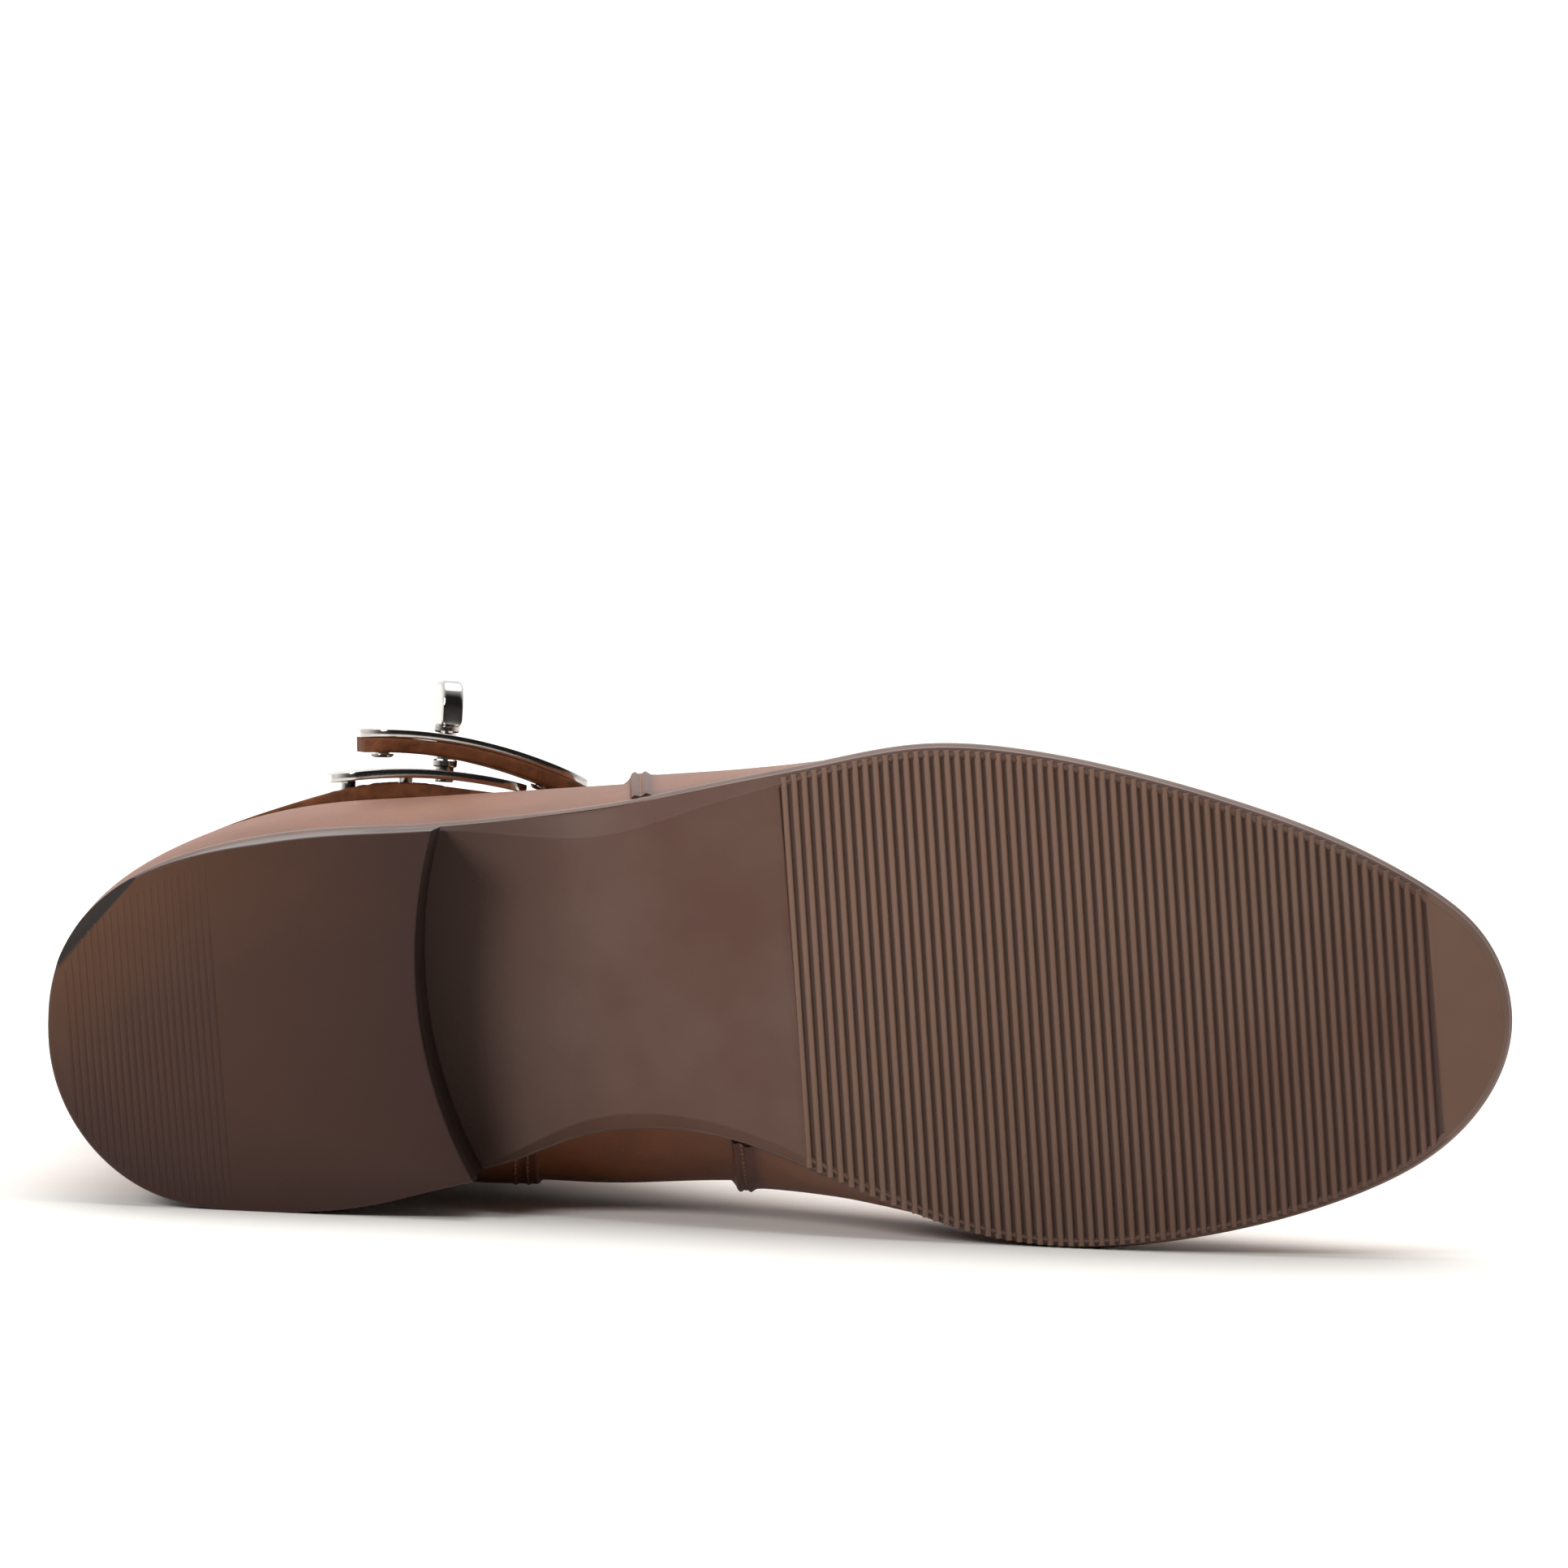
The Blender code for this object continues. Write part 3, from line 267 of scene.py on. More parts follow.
def level_at(height):
    """The same height, or pull, at every x."""
    return lambda x: 0 * x + height


def side_share(steps):
    """Shares of the length from heel to toe, close together at the two round ends."""
    return (1 - np.cos(np.linspace(0, math.pi, steps + 1))) / 2


# %% The sole's outline, profile and edge
SOLE_LENGTH = 260 * MM
SOLE_BACK_Y, SOLE_TIP_Y = 0.7, 17.0
SOLE_OUTLINE = (
    # x, lateral, medial
    (6, 17.2, 19.4),
    (18, 26.2, 29.6),
    (36, 30.8, 33.7),
    (54, 31.7, 34.2),
    (70, 31.2, 31.9),
    (80, 31.3, 30.3),
    (92, 31.9, 26.6),
    (105, 33.1, 25.4),
    (120, 35.4, 28.3),
    (140, 38.2, 37.7),
    (158, 40.0, 46.5),
    (175, 38.0, 51.4),
    (192, 33.4, 52.3),
    (210, 26.8, 50.9),
    (228, 18.6, 47.4),
    (245, 8.0, 40.6),
    (255, -1.4, 31.4),
)
SOLE_PROFILE = (
    # x, underside, thickness
    (0, 21.0, 4.0),
    (36, 20.3, 4.0),
    (72, 18.9, 4.0),
    (90, 15.4, 4.2),
    (110, 8.5, 4.6),
    (126, 3.4, 5.0),
    (140, 0.6, 5.0),
    (152, 0.0, 5.0),
    (188, 0.0, 5.0),
    (210, 1.5, 5.0),
    (236, 5.6, 4.8),
    (260, 10.8, 4.6),
)
SOLE_BEVEL = (
    # x, lateral width, lateral height, medial width, medial height
    (0, 0.4, 0.4, 0.4, 0.4),
    (72, 0.8, 0.8, 0.8, 0.8),
    (100, 4.6, 2.4, 2.4, 1.8),
    (122, 2.6, 1.6, 1.8, 1.4),
    (142, 1.2, 1.0, 1.0, 1.0),
    (260, 1.2, 1.2, 1.0, 1.2),
)
SOLE_EDGE_STEP = 0.5 * MM


def sole_y(share, side):
    """Sideways place of the sole's edge at a share of its length."""
    turn = np.arccos(1 - 2 * np.clip(share, 0, 1))
    knots = np.arccos(1 - 2 * column(SOLE_OUTLINE, 0) / SOLE_LENGTH)
    breadth = side * column(SOLE_OUTLINE, 1 if side == LATERAL else 2)
    knots = np.concatenate([[0], knots, [math.pi]])
    breadth = np.concatenate([[SOLE_BACK_Y * MM], breadth, [SOLE_TIP_Y * MM]])
    return flowing(knots, breadth, turn)


def underside_z(x):
    return level_keeping(column(SOLE_PROFILE, 0), column(SOLE_PROFILE, 1), x)


def sole_top_z(x):
    return underside_z(x) + level_keeping(column(SOLE_PROFILE, 0), column(SOLE_PROFILE, 2), x)


def bevel(x, side, measure):
    """Width or height of the sole's lower bevel."""
    first = {"width": 1, "height": 2}[measure] + (0 if side == LATERAL else 2)
    return level_keeping(column(SOLE_BEVEL, 0), column(SOLE_BEVEL, first), x)


def sole_edge(turn):
    """Points of the sole's edge; turn is 0 at the heel, pi at the toe, negative on the outer side."""
    wrapped = np.where(np.abs(turn) > math.pi, turn - 2 * math.pi * np.sign(turn), turn)
    share = (1 - np.cos(wrapped)) / 2
    y = np.where(wrapped < 0, sole_y(share, LATERAL), sole_y(share, MEDIAL))
    return np.stack([share * SOLE_LENGTH, y], axis=-1)


def inset_edge(turn, pull):
    """The sole's edge pulled in square to itself."""
    small = 1e-3
    heading = sole_edge(turn + small) - sole_edge(turn - small)
    heading /= np.linalg.norm(heading, axis=-1, keepdims=True)
    inward = np.stack([-heading[..., 1], heading[..., 0]], axis=-1)
    return sole_edge(turn) - inward * np.asarray(pull)[..., None]


def inset_side(side, pull):
    """One side of the outline, pulled in, as dense x and y from heel to toe; pull takes x."""
    turns = np.linspace(0, math.pi, 1500)
    turns[0] = 1e-9
    flat = inset_edge(side * turns, pull(sole_edge(side * turns)[:, 0]))
    return np.maximum.accumulate(flat[:, 0]), flat[:, 1]


print("sole breadth at the ball, mm:", round((sole_y(0.61, MEDIAL) - sole_y(0.61, LATERAL)) / MM, 1))

# %% [markdown]
# ## Rubber, lacquer and steel
# Every finish starts from the real material. Moulded sole rubber is a dull brown with a faint cloud of
# tones from the press. The heel's side is lacquered and shines. The clasp is polished steel, nearly a
# mirror. Each pattern reads Object coordinates, which are metres here, so a scale is one over a real size.

# %% Rubber, lacquer and steel finishes
def per_mm(size):
    """Texture scale for a pattern whose features are this many millimetres across."""
    return 1 / (size * MM)


def clouds(tree, size, detail):
    """Noise whose features are this many millimetres across."""
    place = add(tree, "ShaderNodeTexCoord")
    noise = {"Vector": place.outputs["Object"], "Scale": per_mm(size), "Detail": detail}
    return add(tree, "ShaderNodeTexNoise", noise).outputs["Fac"]


def mottled(tree, size, dark, light, detail=3.0):
    """Colour that drifts between two tones over a size in millimetres."""
    spread = {"Value": clouds(tree, size, detail), "From Min": 0.3, "From Max": 0.7}
    even = add(tree, "ShaderNodeMapRange", spread)
    tones = {0: even.outputs["Result"], 6: linear(dark), 7: linear(light)}
    return add(tree, "ShaderNodeMix", tones, data_type="RGBA").outputs[2]


def roughened(tree, size, depth, detail=2.0):
    """Normal of a fine uneven surface: feature size and depth in millimetres."""
    relief = {"Height": clouds(tree, size, detail), "Distance": depth * MM, "Strength": 1.0}
    return add(tree, "ShaderNodeBump", relief).outputs["Normal"]


def darkened(tree, colour, attribute, shade):
    """The colour turned towards a shade where the mesh's own attribute says."""
    mask = add(tree, "ShaderNodeAttribute", attribute_name=attribute)
    tones = {0: mask.outputs["Fac"], 6: colour, 7: linear(shade)}
    return add(tree, "ShaderNodeMix", tones, data_type="RGBA").outputs[2]


def moulded_rubber(name, dark, light, painted_shade_and_grime, wear_and_painted_light):
    """Pressed sole rubber: dull and cloudy, fine-skinned, with marked tones for painted light and shade,
    grime and wear.
    """
    made, tree, shader = finish(name, Roughness=0.55, Specular_IOR_Level=0.25)
    # The marked tones: one is partly wear and partly painted light and shade, the other painted shade and
    # grime.
    colour = darkened(tree, mottled(tree, 26, dark, light), "wear_and_painted_light", wear_and_painted_light)
    tree.links.new(darkened(tree, colour, "painted_shade_and_grime", painted_shade_and_grime), shader.inputs["Base Color"])
    # The mould's skin is about 0.1 mm fine; it is drawn at 0.35 mm so that it shows.
    tree.links.new(roughened(tree, 0.35, 0.02), shader.inputs["Normal"])
    return made


def lacquer(name, dark, light):
    """Lacquered side: dark brown under a clear coat that mirrors the room at a low angle."""
    made, tree, shader = finish(
        name, Roughness=0.45, Specular_IOR_Level=0.3, Coat_Weight=0.2, Coat_Roughness=0.25
    )
    tree.links.new(mottled(tree, 14, dark, light), shader.inputs["Base Color"])
    tree.links.new(roughened(tree, 3.0, 0.02), shader.inputs["Normal"])
    return made


def polished_steel(name, roughness):
    """Polished and plated steel: a clear mirror with a trace of fine rubbing marks."""
    made, tree, shader = finish(name, Metallic=1.0, Roughness=roughness)
    tree.links.new(mottled(tree, 4, "#b3aeaa", "#c9c5c1"), shader.inputs["Base Color"])
    tree.links.new(roughened(tree, 0.8, 0.004), shader.inputs["Normal"])
    return made


# Sole: the third tone is painted shade in the tray and beside the heel; the fourth, paler, is partly wear,
# partly painted light.
SOLE_RUBBER = moulded_rubber("moulded_sole_rubber", "#53372d", "#5f493f", "#443029", "#72594b")
# Heel: the third tone is grime on the strike facet; the fourth is painted shade across the tread.
HEEL_RUBBER = moulded_rubber("moulded_heel_rubber", "#4a2f20", "#573a28", "#1d130e", "#38231e")
HEEL_LACQUER = lacquer("lacquered_heel", "#34201a", "#452b22")
# Painted shade: a near-black finish for the heel's hollow front, which lies in shade.
HEEL_FRONT_SHADE = lacquer("heel_front_painted_shade", "#1c110d", "#271812")
# Partly painted sheen: the lacquered edge is coloured lighter for the sheen it shows at a low angle.
SOLE_EDGE = lacquer("lacquered_sole_edge_painted_sheen", "#5a4138", "#6b5247")
STEEL = {part: polished_steel("polished_steel_" + part, 0.12) for part in ("base", "plate", "toggle")}
HARD_FINISHES = (SOLE_RUBBER, HEEL_RUBBER, HEEL_LACQUER, HEEL_FRONT_SHADE, SOLE_EDGE, *STEEL.values())
print("hard finishes:", [made.name for made in HARD_FINISHES])

# %% [markdown]
# ## Making a piece
# Every piece is built standing up, in the boot's own measures, as rings of points joined by faces. Then its
# mesh is laid down with the boot's matrix and the object stays at the origin, as the solids' objects do.

# %% Rings, meshes and pieces
def joined_rings(rings, closed=False):
    """Points and faces of rings of points laid one after another; closed joins the last to the first."""
    count, faces = len(rings[0]), []
    for low in range(len(rings) if closed else len(rings) - 1):
        high = (low + 1) % len(rings)
        for i in range(count):
            j = (i + 1) % count
            faces.append((low * count + i, low * count + j, high * count + j, high * count + i))
    return np.vstack(rings), faces


def strip_cap(first, count):
    """Faces across a ring that runs out along one side and back along the other."""
    half = count // 2
    faces = [(first, first + 1, first + count - 1)]
    for i in range(1, half - 1):
        faces.append((first + i, first + i + 1, first + count - i - 1, first + count - i))
    faces.append((first + half - 1, first + half, first + half + 1))
    return faces


def end_caps(points, count):
    """One face across the first ring of points and one across the last."""
    return [tuple(range(count)), tuple(range(len(points) - count, len(points)))]


def quarter(x, y, first, wide, high, steps):
    """Points of a quarter round about a place, from an angle in degrees."""
    turns = np.radians(np.linspace(first, first + 90, steps))
    return [(x + wide * math.cos(t), y + high * math.sin(t)) for t in turns]


def mesh_from(name, points, faces, materials, index=None):
    """Mesh with merged doubles and faces that point out; index gives each face's material."""
    mesh = bpy.data.meshes.new(name)
    mesh.from_pydata([tuple(p) for p in points], [], faces)
    for each in materials:
        mesh.materials.append(each)
    if index is not None:
        mesh.polygons.foreach_set("material_index", index)
    shape = bmesh.new()
    shape.from_mesh(mesh)
    bmesh.ops.remove_doubles(shape, verts=shape.verts, dist=2e-6)
    bmesh.ops.dissolve_degenerate(shape, edges=shape.edges, dist=1e-7)
    bmesh.ops.recalc_face_normals(shape, faces=shape.faces)
    shape.to_mesh(mesh)
    shape.free()
    return mesh


def marked(mesh, name, values):
    """Stores one number for each point of the mesh, for its material to read."""
    mesh.attributes.new(name, "FLOAT", "POINT").data.foreach_set("value", np.asarray(values, np.float32))


def points_of(mesh):
    flat = np.zeros(len(mesh.vertices) * 3)
    mesh.vertices.foreach_get("co", flat)
    return flat.reshape(-1, 3)


def piece(name, mesh, replaced=None, body="boot", sharp=38):
    """Lays a mesh down with the boot and hands it to the frame."""
    mesh.transform(BOOT)
    mesh.shade_smooth()
    mesh.set_sharp_from_angle(angle=math.radians(sharp))
    made = bpy.data.objects.new(name, mesh)
    bpy.context.scene.collection.objects.link(made)
    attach(made, body)
    if replaced:
        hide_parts(replaced)
    mesh.calc_loop_triangles()
    size = points_of(mesh).max(axis=0) - points_of(mesh).min(axis=0)
    print(name, len(mesh.loop_triangles), "triangles, mm:", [round(v / MM, 1) for v in size])
    return made


# %% [markdown]
# ## Sole
# The outsole is one moulded slab: a smooth waist with a wide bevel along its outer edge, and a shallow tray
# under the ball that the tread ribs stand in. It could be a copy of the solid with a bevel, but the tray
# needs lines of its own, so it is lofted: each ring is the outline pulled in a little more, at its height.

# %% Sole body
RIB_PITCH = 1.82 * MM
RIB_COUNT = 62
FIRST_RIB_X = 134.2 * MM  # at the outer edge
FIRST_RIB_Y = -36.5 * MM
RIB_SKEW = -0.0136  # the ribs lean back a little towards the inner side
RIB_HEIGHT = 0.6 * MM
TRAY_START = FIRST_RIB_X - RIB_PITCH / 2
TRAY_END = FIRST_RIB_X + RIB_PITCH * (RIB_COUNT - 0.5)
TRAY_WALL = 0.6 * MM
TRAY_RIM, TRAY_SLOPE = 0.15 * MM, 0.7 * MM
SOLE_STEPS = 230
SOLE_EDGE_ROWS = (
    # pulled in, below the sole's top
    (3.0, 0),
    (0.5, 0),
    (0.15, 0.12),
    (0, 0.5),
    (0, 1.5),
    (0.08, 1.75),
    (0.4, 2.1),
    (0.5, 2.3),
)
LACQUERED_ROWS = (2, 9)  # the edge's first row of faces, and the first one after it
BEVEL_PARTS = (-0.12, 0.02, 0.12, 0.5, 0.86, 0.97)  # from 0 at the edge to 1 at the underside
# Painted shadow of the heel on the waist: full here, gone after this length.
CORNER_SHADE_FROM, CORNER_SHADE_LENGTH = 70 * MM, 34 * MM  # along the waist, beside the heel
TOE_WEAR_AND_LIGHT = 0.5


def tray_depth(x):
    rise = eased((x - TRAY_START) / TRAY_WALL + 0.5) - eased((x - TRAY_END) / TRAY_WALL + 0.5)
    return RIB_HEIGHT * rise


def lower_edge(x, side, part):
    """Pull and height of the sole's bevel, from 0 at the edge to 1 at the underside."""
    pull = SOLE_EDGE_STEP + bevel(x, side, "width") * part
    return pull, underside_z(x) + bevel(x, side, "height") * (1 - part)


def sole_rows():
    """Each row: how far it is pulled in, and its height, as functions of x and side."""
    rows = []
    for pull, drop in SOLE_EDGE_ROWS:
        rows.append((lambda x, s, p=pull: 0 * x + p * MM, lambda x, s, d=drop: sole_top_z(x) - d * MM))
    for part in BEVEL_PARTS:
        rows.append(
            (
                lambda x, s, part=part: lower_edge(x, s, max(part, 0))[0],
                lambda x, s, part=part: lower_edge(x, s, part)[1],
            )
        )
    rows.append((lambda x, s: lower_edge(x, s, 1)[0] + 0.12 * MM, lambda x, s: underside_z(x)))
    for deeper in (0.0, TRAY_SLOPE / 2, TRAY_SLOPE):
        rows.append(
            (
                lambda x, s, d=deeper: lower_edge(x, s, 1)[0] + TRAY_RIM + d,
                lambda x, s, d=deeper: underside_z(x) + tray_depth(x) * eased(d / TRAY_SLOPE),
            )
        )
    return rows


def sole_ring(pull, height, shares):
    """Ring round the sole, out along the outer side and back along the inner."""
    halves = []
    for side in (LATERAL, MEDIAL):
        x, _ = inset_side(side, lambda at: pull(at, side))
        along = x[0] + (x[-1] - x[0]) * shares
        known = (1 - np.cos(np.linspace(0, math.pi, len(x)))) / 2
        turn = side * np.arccos(1 - 2 * np.clip(np.interp(along, x, known), 1e-12, 1))
        flat = inset_edge(turn, pull(sole_edge(turn)[:, 0], side))
        halves.append(np.column_stack([flat, height(flat[:, 0], side)]))
    return np.vstack([halves[0], halves[1][-2:0:-1]])


def tray_shares():
    """Stations along the sole, with close ones at the tray's two end walls."""
    shares = side_share(SOLE_STEPS)
    margin = 0.0012
    ends = [wall + part * TRAY_WALL for wall in (TRAY_START, TRAY_END) for part in (-0.5, -0.2, 0.2, 0.5)]
    inner_x, _ = inset_side(MEDIAL, lambda x: lower_edge(x, MEDIAL, 1)[0] + 0.9 * MM)
    walls = [(x - inner_x[0]) / (inner_x[-1] - inner_x[0]) for x in ends]
    clear = [share for share in shares if min(abs(share - wall) for wall in walls) > margin]
    return np.array(sorted(clear + walls))


def sole_body():
    shares = tray_shares()
    rings = [sole_ring(pull, height, shares) for pull, height in sole_rows()]
    points, faces = joined_rings(rings)
    count = len(rings[0])
    faces += strip_cap(0, count) + strip_cap((len(rings) - 1) * count, count)
    index = np.zeros(len(faces), int)
    index[LACQUERED_ROWS[0] * count : LACQUERED_ROWS[1] * count] = 1
    mesh = mesh_from("sole_body", points, faces, [SOLE_RUBBER, SOLE_EDGE], index)
    at = points_of(mesh)
    sunk = (at[:, 2] - underside_z(at[:, 0])) / RIB_HEIGHT
    in_tray = (at[:, 0] > TRAY_START) & (at[:, 0] < TRAY_END) & (sunk > 0.5) & (sunk < 1.1)
    # Painted shade: the tray's floor between the ribs and the waist beside the heel are darkened.
    under = at[:, 2] < underside_z(at[:, 0]) + 2 * MM
    corner = (1 - eased((at[:, 0] - CORNER_SHADE_FROM) / CORNER_SHADE_LENGTH)) * under
    marked(mesh, "painted_shade_and_grime", np.maximum(in_tray, corner))
    # Partly wear, partly painted light: the toe beyond the tray takes the paler tone.
    marked(mesh, "wear_and_painted_light", TOE_WEAR_AND_LIGHT * eased((at[:, 0] - TRAY_END) / (3 * MM) + 0.5))
    return piece("sole_body", mesh, "outsole")


sole_body()

# %% [markdown]
# ## Tread ribs
# Sixty-two low ribs cross the ball of the sole, a little under two millimetres apart. Drawn as bump they
# would vanish at the sole's edge, where they make a fine saw line. So each rib is a line on the tread, and
# one small Geometry Nodes tree sweeps a rounded trapezoid along every line. The same tree, with smaller
# sizes, makes the shallow ribs of the heel.

# %% Rib tree and the ball's ribs
def size_tree(name, sizes):
    """Empty Geometry Nodes tree with a mesh and a material going in, and a named input for each size."""
    tree = bpy.data.node_groups.new(name, "GeometryNodeTree")
    tree.interface.new_socket("Geometry", in_out="INPUT", socket_type="NodeSocketGeometry")
    for label in sizes:
        tree.interface.new_socket(label, in_out="INPUT", socket_type="NodeSocketFloat")
    tree.interface.new_socket("Material", in_out="INPUT", socket_type="NodeSocketMaterial")
    tree.interface.new_socket("Geometry", in_out="OUTPUT", socket_type="NodeSocketGeometry")
    return tree, add(tree, "NodeGroupInput").outputs


def end_tree(tree, geometry, material):
    real = add(tree, "GeometryNodeRealizeInstances", {"Geometry": geometry})
    painted = {"Geometry": real.outputs[0], "Material": material}
    add(tree, "NodeGroupOutput", {0: add(tree, "GeometryNodeSetMaterial", painted).outputs[0]})


def rib_tree():
    tree, given = size_tree("moulded_rib", ("Base width", "Crest width", "Height", "Soft edge"))
    path = add(tree, "GeometryNodeMeshToCurve", {"Mesh": given["Geometry"]})
    upright = add(tree, "GeometryNodeSetCurveNormal", {"Curve": path.outputs[0]}, mode="Z_UP")
    sizes = {"Height": given["Height"], "Offset": 0.0}
    sizes |= {"Bottom Width": given["Base width"], "Top Width": given["Crest width"]}
    section = add(tree, "GeometryNodeCurvePrimitiveQuadrilateral", sizes, mode="TRAPEZOID")
    rounding = {"Curve": section.outputs[0], "Count": 2, "Radius": given["Soft edge"]}
    soft = add(tree, "GeometryNodeFilletCurve", rounding, mode="POLY")
    swept = {"Curve": upright.outputs[0], "Profile Curve": soft.outputs[0], "Fill Caps": True}
    end_tree(tree, add(tree, "GeometryNodeCurveToMesh", swept).outputs[0], given["Material"])
    return tree


def paths_mesh(name, paths):
    """Mesh of open lines, one for each path."""
    points, edges = [], []
    for path in paths:
        edges += [(len(points) + i, len(points) + i + 1) for i in range(len(path) - 1)]
        points += [tuple(p) for p in path]
    mesh = bpy.data.meshes.new(name)
    mesh.from_pydata(points, edges, [])
    return mesh


def grown(mesh, tree, sizes):
    """Runs a tree on a mesh of lines and gives the result as a plain mesh."""
    host = bpy.data.objects.new(mesh.name, mesh)
    bpy.context.scene.collection.objects.link(host)
    grower = host.modifiers.new(tree.name, "NODES")
    grower.node_group = tree
    for socket in tree.interface.items_tree:
        if socket.in_out == "INPUT" and socket.name in sizes:
            grower[socket.identifier] = sizes[socket.name]
    bpy.context.view_layer.update()
    made = bpy.data.meshes.new_from_object(host.evaluated_get(bpy.context.evaluated_depsgraph_get()))
    host.modifiers.remove(grower)
    bpy.data.objects.remove(host)
    return made


RIB_TREE = rib_tree()
RIB_STEPS = 26
RIB_BASE, RIB_CREST, RIB_SOFT_EDGE = 1.5 * MM, 0.68 * MM, 0.12 * MM
RIB_ROOT = 0.1 * MM  # how far a rib reaches into the tray's floor
PALE_RUN, PALE_LOSS = 120 * MM, 0.75  # the pale tone, partly wear and partly painted light, fades over this run, by this share


def ball_ribs():
    outer_x, outer_y = inset_side(LATERAL, lambda x: lower_edge(x, LATERAL, 0.4)[0])
    inner_x, inner_y = inset_side(MEDIAL, lambda x: lower_edge(x, MEDIAL, 0.3)[0])
    paths = []
    for number in range(RIB_COUNT):
        start = FIRST_RIB_X + number * RIB_PITCH
        y = np.linspace(np.interp(start, outer_x, outer_y), np.interp(start, inner_x, inner_y), RIB_STEPS)
        x = start + RIB_SKEW * (y - FIRST_RIB_Y)
        paths.append(np.column_stack([x, y, underside_z(x) + RIB_HEIGHT / 2]))
    sizes = {"Base width": RIB_BASE, "Crest width": RIB_CREST, "Height": RIB_HEIGHT + RIB_ROOT}
    sizes |= {"Soft edge": RIB_SOFT_EDGE, "Material": SOLE_RUBBER}
    mesh = grown(paths_mesh("ball_ribs", paths), RIB_TREE, sizes)
    low = points_of(mesh)
    print("rib crest under the tread, mm:", round((low[:, 2] - underside_z(low[:, 0])).min() / MM, 3))
    # Partly wear, partly painted light: the ribs are palest at the ball's outer back and less pale towards
    # the inner front.
    run = (low[:, 0] - TRAY_START + low[:, 1]) / PALE_RUN
    marked(mesh, "wear_and_painted_light", 1 - PALE_LOSS * np.clip(run, 0, 1))
    return piece("ball_ribs", mesh)


ball_ribs()

# %% [markdown]
# ## Heel
# The heel is a stack: a lacquered block under the seat and a rubber top piece nailed under that. Both have
# the sole's outline and one hollow front face. They are lofted from that outline and an arc, with small
# round edges, and the top piece loses a corner at the back where the foot strikes.

# %% Heel block and top piece
BREAST_X, BREAST_Y, BREAST_RADIUS, BREAST_PITCH = 66.3 * MM, -3.2 * MM, 83 * MM, 2.0 * MM
HEEL_FLARE, HEEL_FLARE_SPAN = 1.0 * MM, 12 * MM  # the tread is wider than the seat, on the outer side
HEEL_FLARE_BACK = 1.2  # share of it that is added towards the back
HEEL_BACK_FROM, HEEL_BACK_SPAN = 40 * MM, 25 * MM
HEEL_TONE_LEAN, HEEL_TONE_START, HEEL_TONE_SPAN = 1.3, -18 * MM, 44 * MM
TOP_PIECE_HEIGHT = 6.0 * MM
FIT_GAP = 0.3 * MM
STRIKE_POINT = Vector((8.6, -18.7, 0)) * MM
STRIKE_NORMAL = Vector((-0.40, -0.42, -0.82))
EDGE_STEPS, BREAST_STEPS = 90, 44


def flare_share(ring):
    """How much of the heel's flare each point of an outline has: none inside, most at the outer back."""
    back = 1 + HEEL_FLARE_BACK * np.clip((HEEL_BACK_FROM - ring[:, 0]) / HEEL_BACK_SPAN, 0, 1)
    return back * np.clip(-ring[:, 1] / HEEL_FLARE_SPAN, 0, 1)


def heel_ring(inset, height):
    """Outline of the heel at a height: the sole's edge round the back, then the hollow front."""
    lean = BREAST_PITCH / underside_z(BREAST_X)
    middle = Vector((BREAST_X + BREAST_RADIUS, BREAST_Y))
    radius = BREAST_RADIUS - lean * height + inset
    flare = HEEL_FLARE * (1 - height / (SOLE_PROFILE[0][1] * MM))

    def flared(turns):
        flat = inset_edge(turns, 0 * turns + inset)
        flat[:, 1] -= flare * flare_share(flat)
        return flat

    reach = {}
    for side in (LATERAL, MEDIAL):
        turns = np.linspace(0.9, 1.35, 400)
        flat = flared(side * turns)
        away = np.hypot(flat[:, 0] - middle.x, flat[:, 1] - middle.y)
        reach[side] = np.interp(-radius, -away, turns)
    turns = np.linspace(-reach[LATERAL], reach[MEDIAL], EDGE_STEPS * 2)
    edge = flared(turns)
    angles = [math.atan2(edge[i][1] - middle.y, middle.x - edge[i][0]) for i in (-1, 0)]
    sweep = np.linspace(*angles, BREAST_STEPS)[1:-1]
    front = np.column_stack([middle.x - radius * np.cos(sweep), middle.y + radius * np.sin(sweep)])
    return np.vstack([edge, front])


def heel_layer(name, inset, low, high, low_round, high_round, materials):
    """Layer of the heel between two heights, with rounded edges; the last finish is the side's."""
    rings = []
    for turn in np.linspace(0, math.pi / 2, 5):
        pull, lift = low_round * (1 - math.sin(turn)), low_round * (1 - math.cos(turn))
        flat = heel_ring(inset + pull, TOP_PIECE_HEIGHT if low(0) else 0)
        rings.append(np.column_stack([flat, low(flat[:, 0]) + lift]))
    for turn in np.linspace(math.pi / 2, 0, 5):
        pull, drop = high_round * (1 - math.sin(turn)), high_round * (1 - math.cos(turn))
        top = float(high(BREAST_X))
        flat = heel_ring(inset + pull, top)
        rings.append(np.column_stack([flat, high(flat[:, 0]) - drop]))
    points, faces = joined_rings(rings)
    count = len(rings[0])
    faces += end_caps(points, count)
    index = np.zeros(len(faces), int)
    index[count:-2] = len(materials) - 1
    # Painted shade: the hollow front face, which lies in shade, gets a much darker finish than the sides.
    on_front = np.arange(len(faces) - 2) % count >= EDGE_STEPS * 2 - 1
    index[:-2][on_front & (index[:-2] == len(materials) - 1)] = len(materials)
    materials = [*materials, HEEL_FRONT_SHADE]
    return mesh_from(name, points, faces, materials, index)


def heel_block():
    def seat(x):
        return underside_z(x) - FIT_GAP

    low = level_at(TOP_PIECE_HEIGHT + FIT_GAP)
    mesh = heel_layer("heel_wall", 0.5 * MM, low, seat, 0.25 * MM, 0.25 * MM, [HEEL_LACQUER])
    return piece("heel_wall", mesh, "heel_block")


def heel_painted_shade(at):
    """Painted shade across the heel's tread: 0 at its outer back corner, darkest at 1 across to the inner
    front.
    """
    return eased((at[:, 0] + at[:, 1] * HEEL_TONE_LEAN - HEEL_TONE_START) / HEEL_TONE_SPAN)


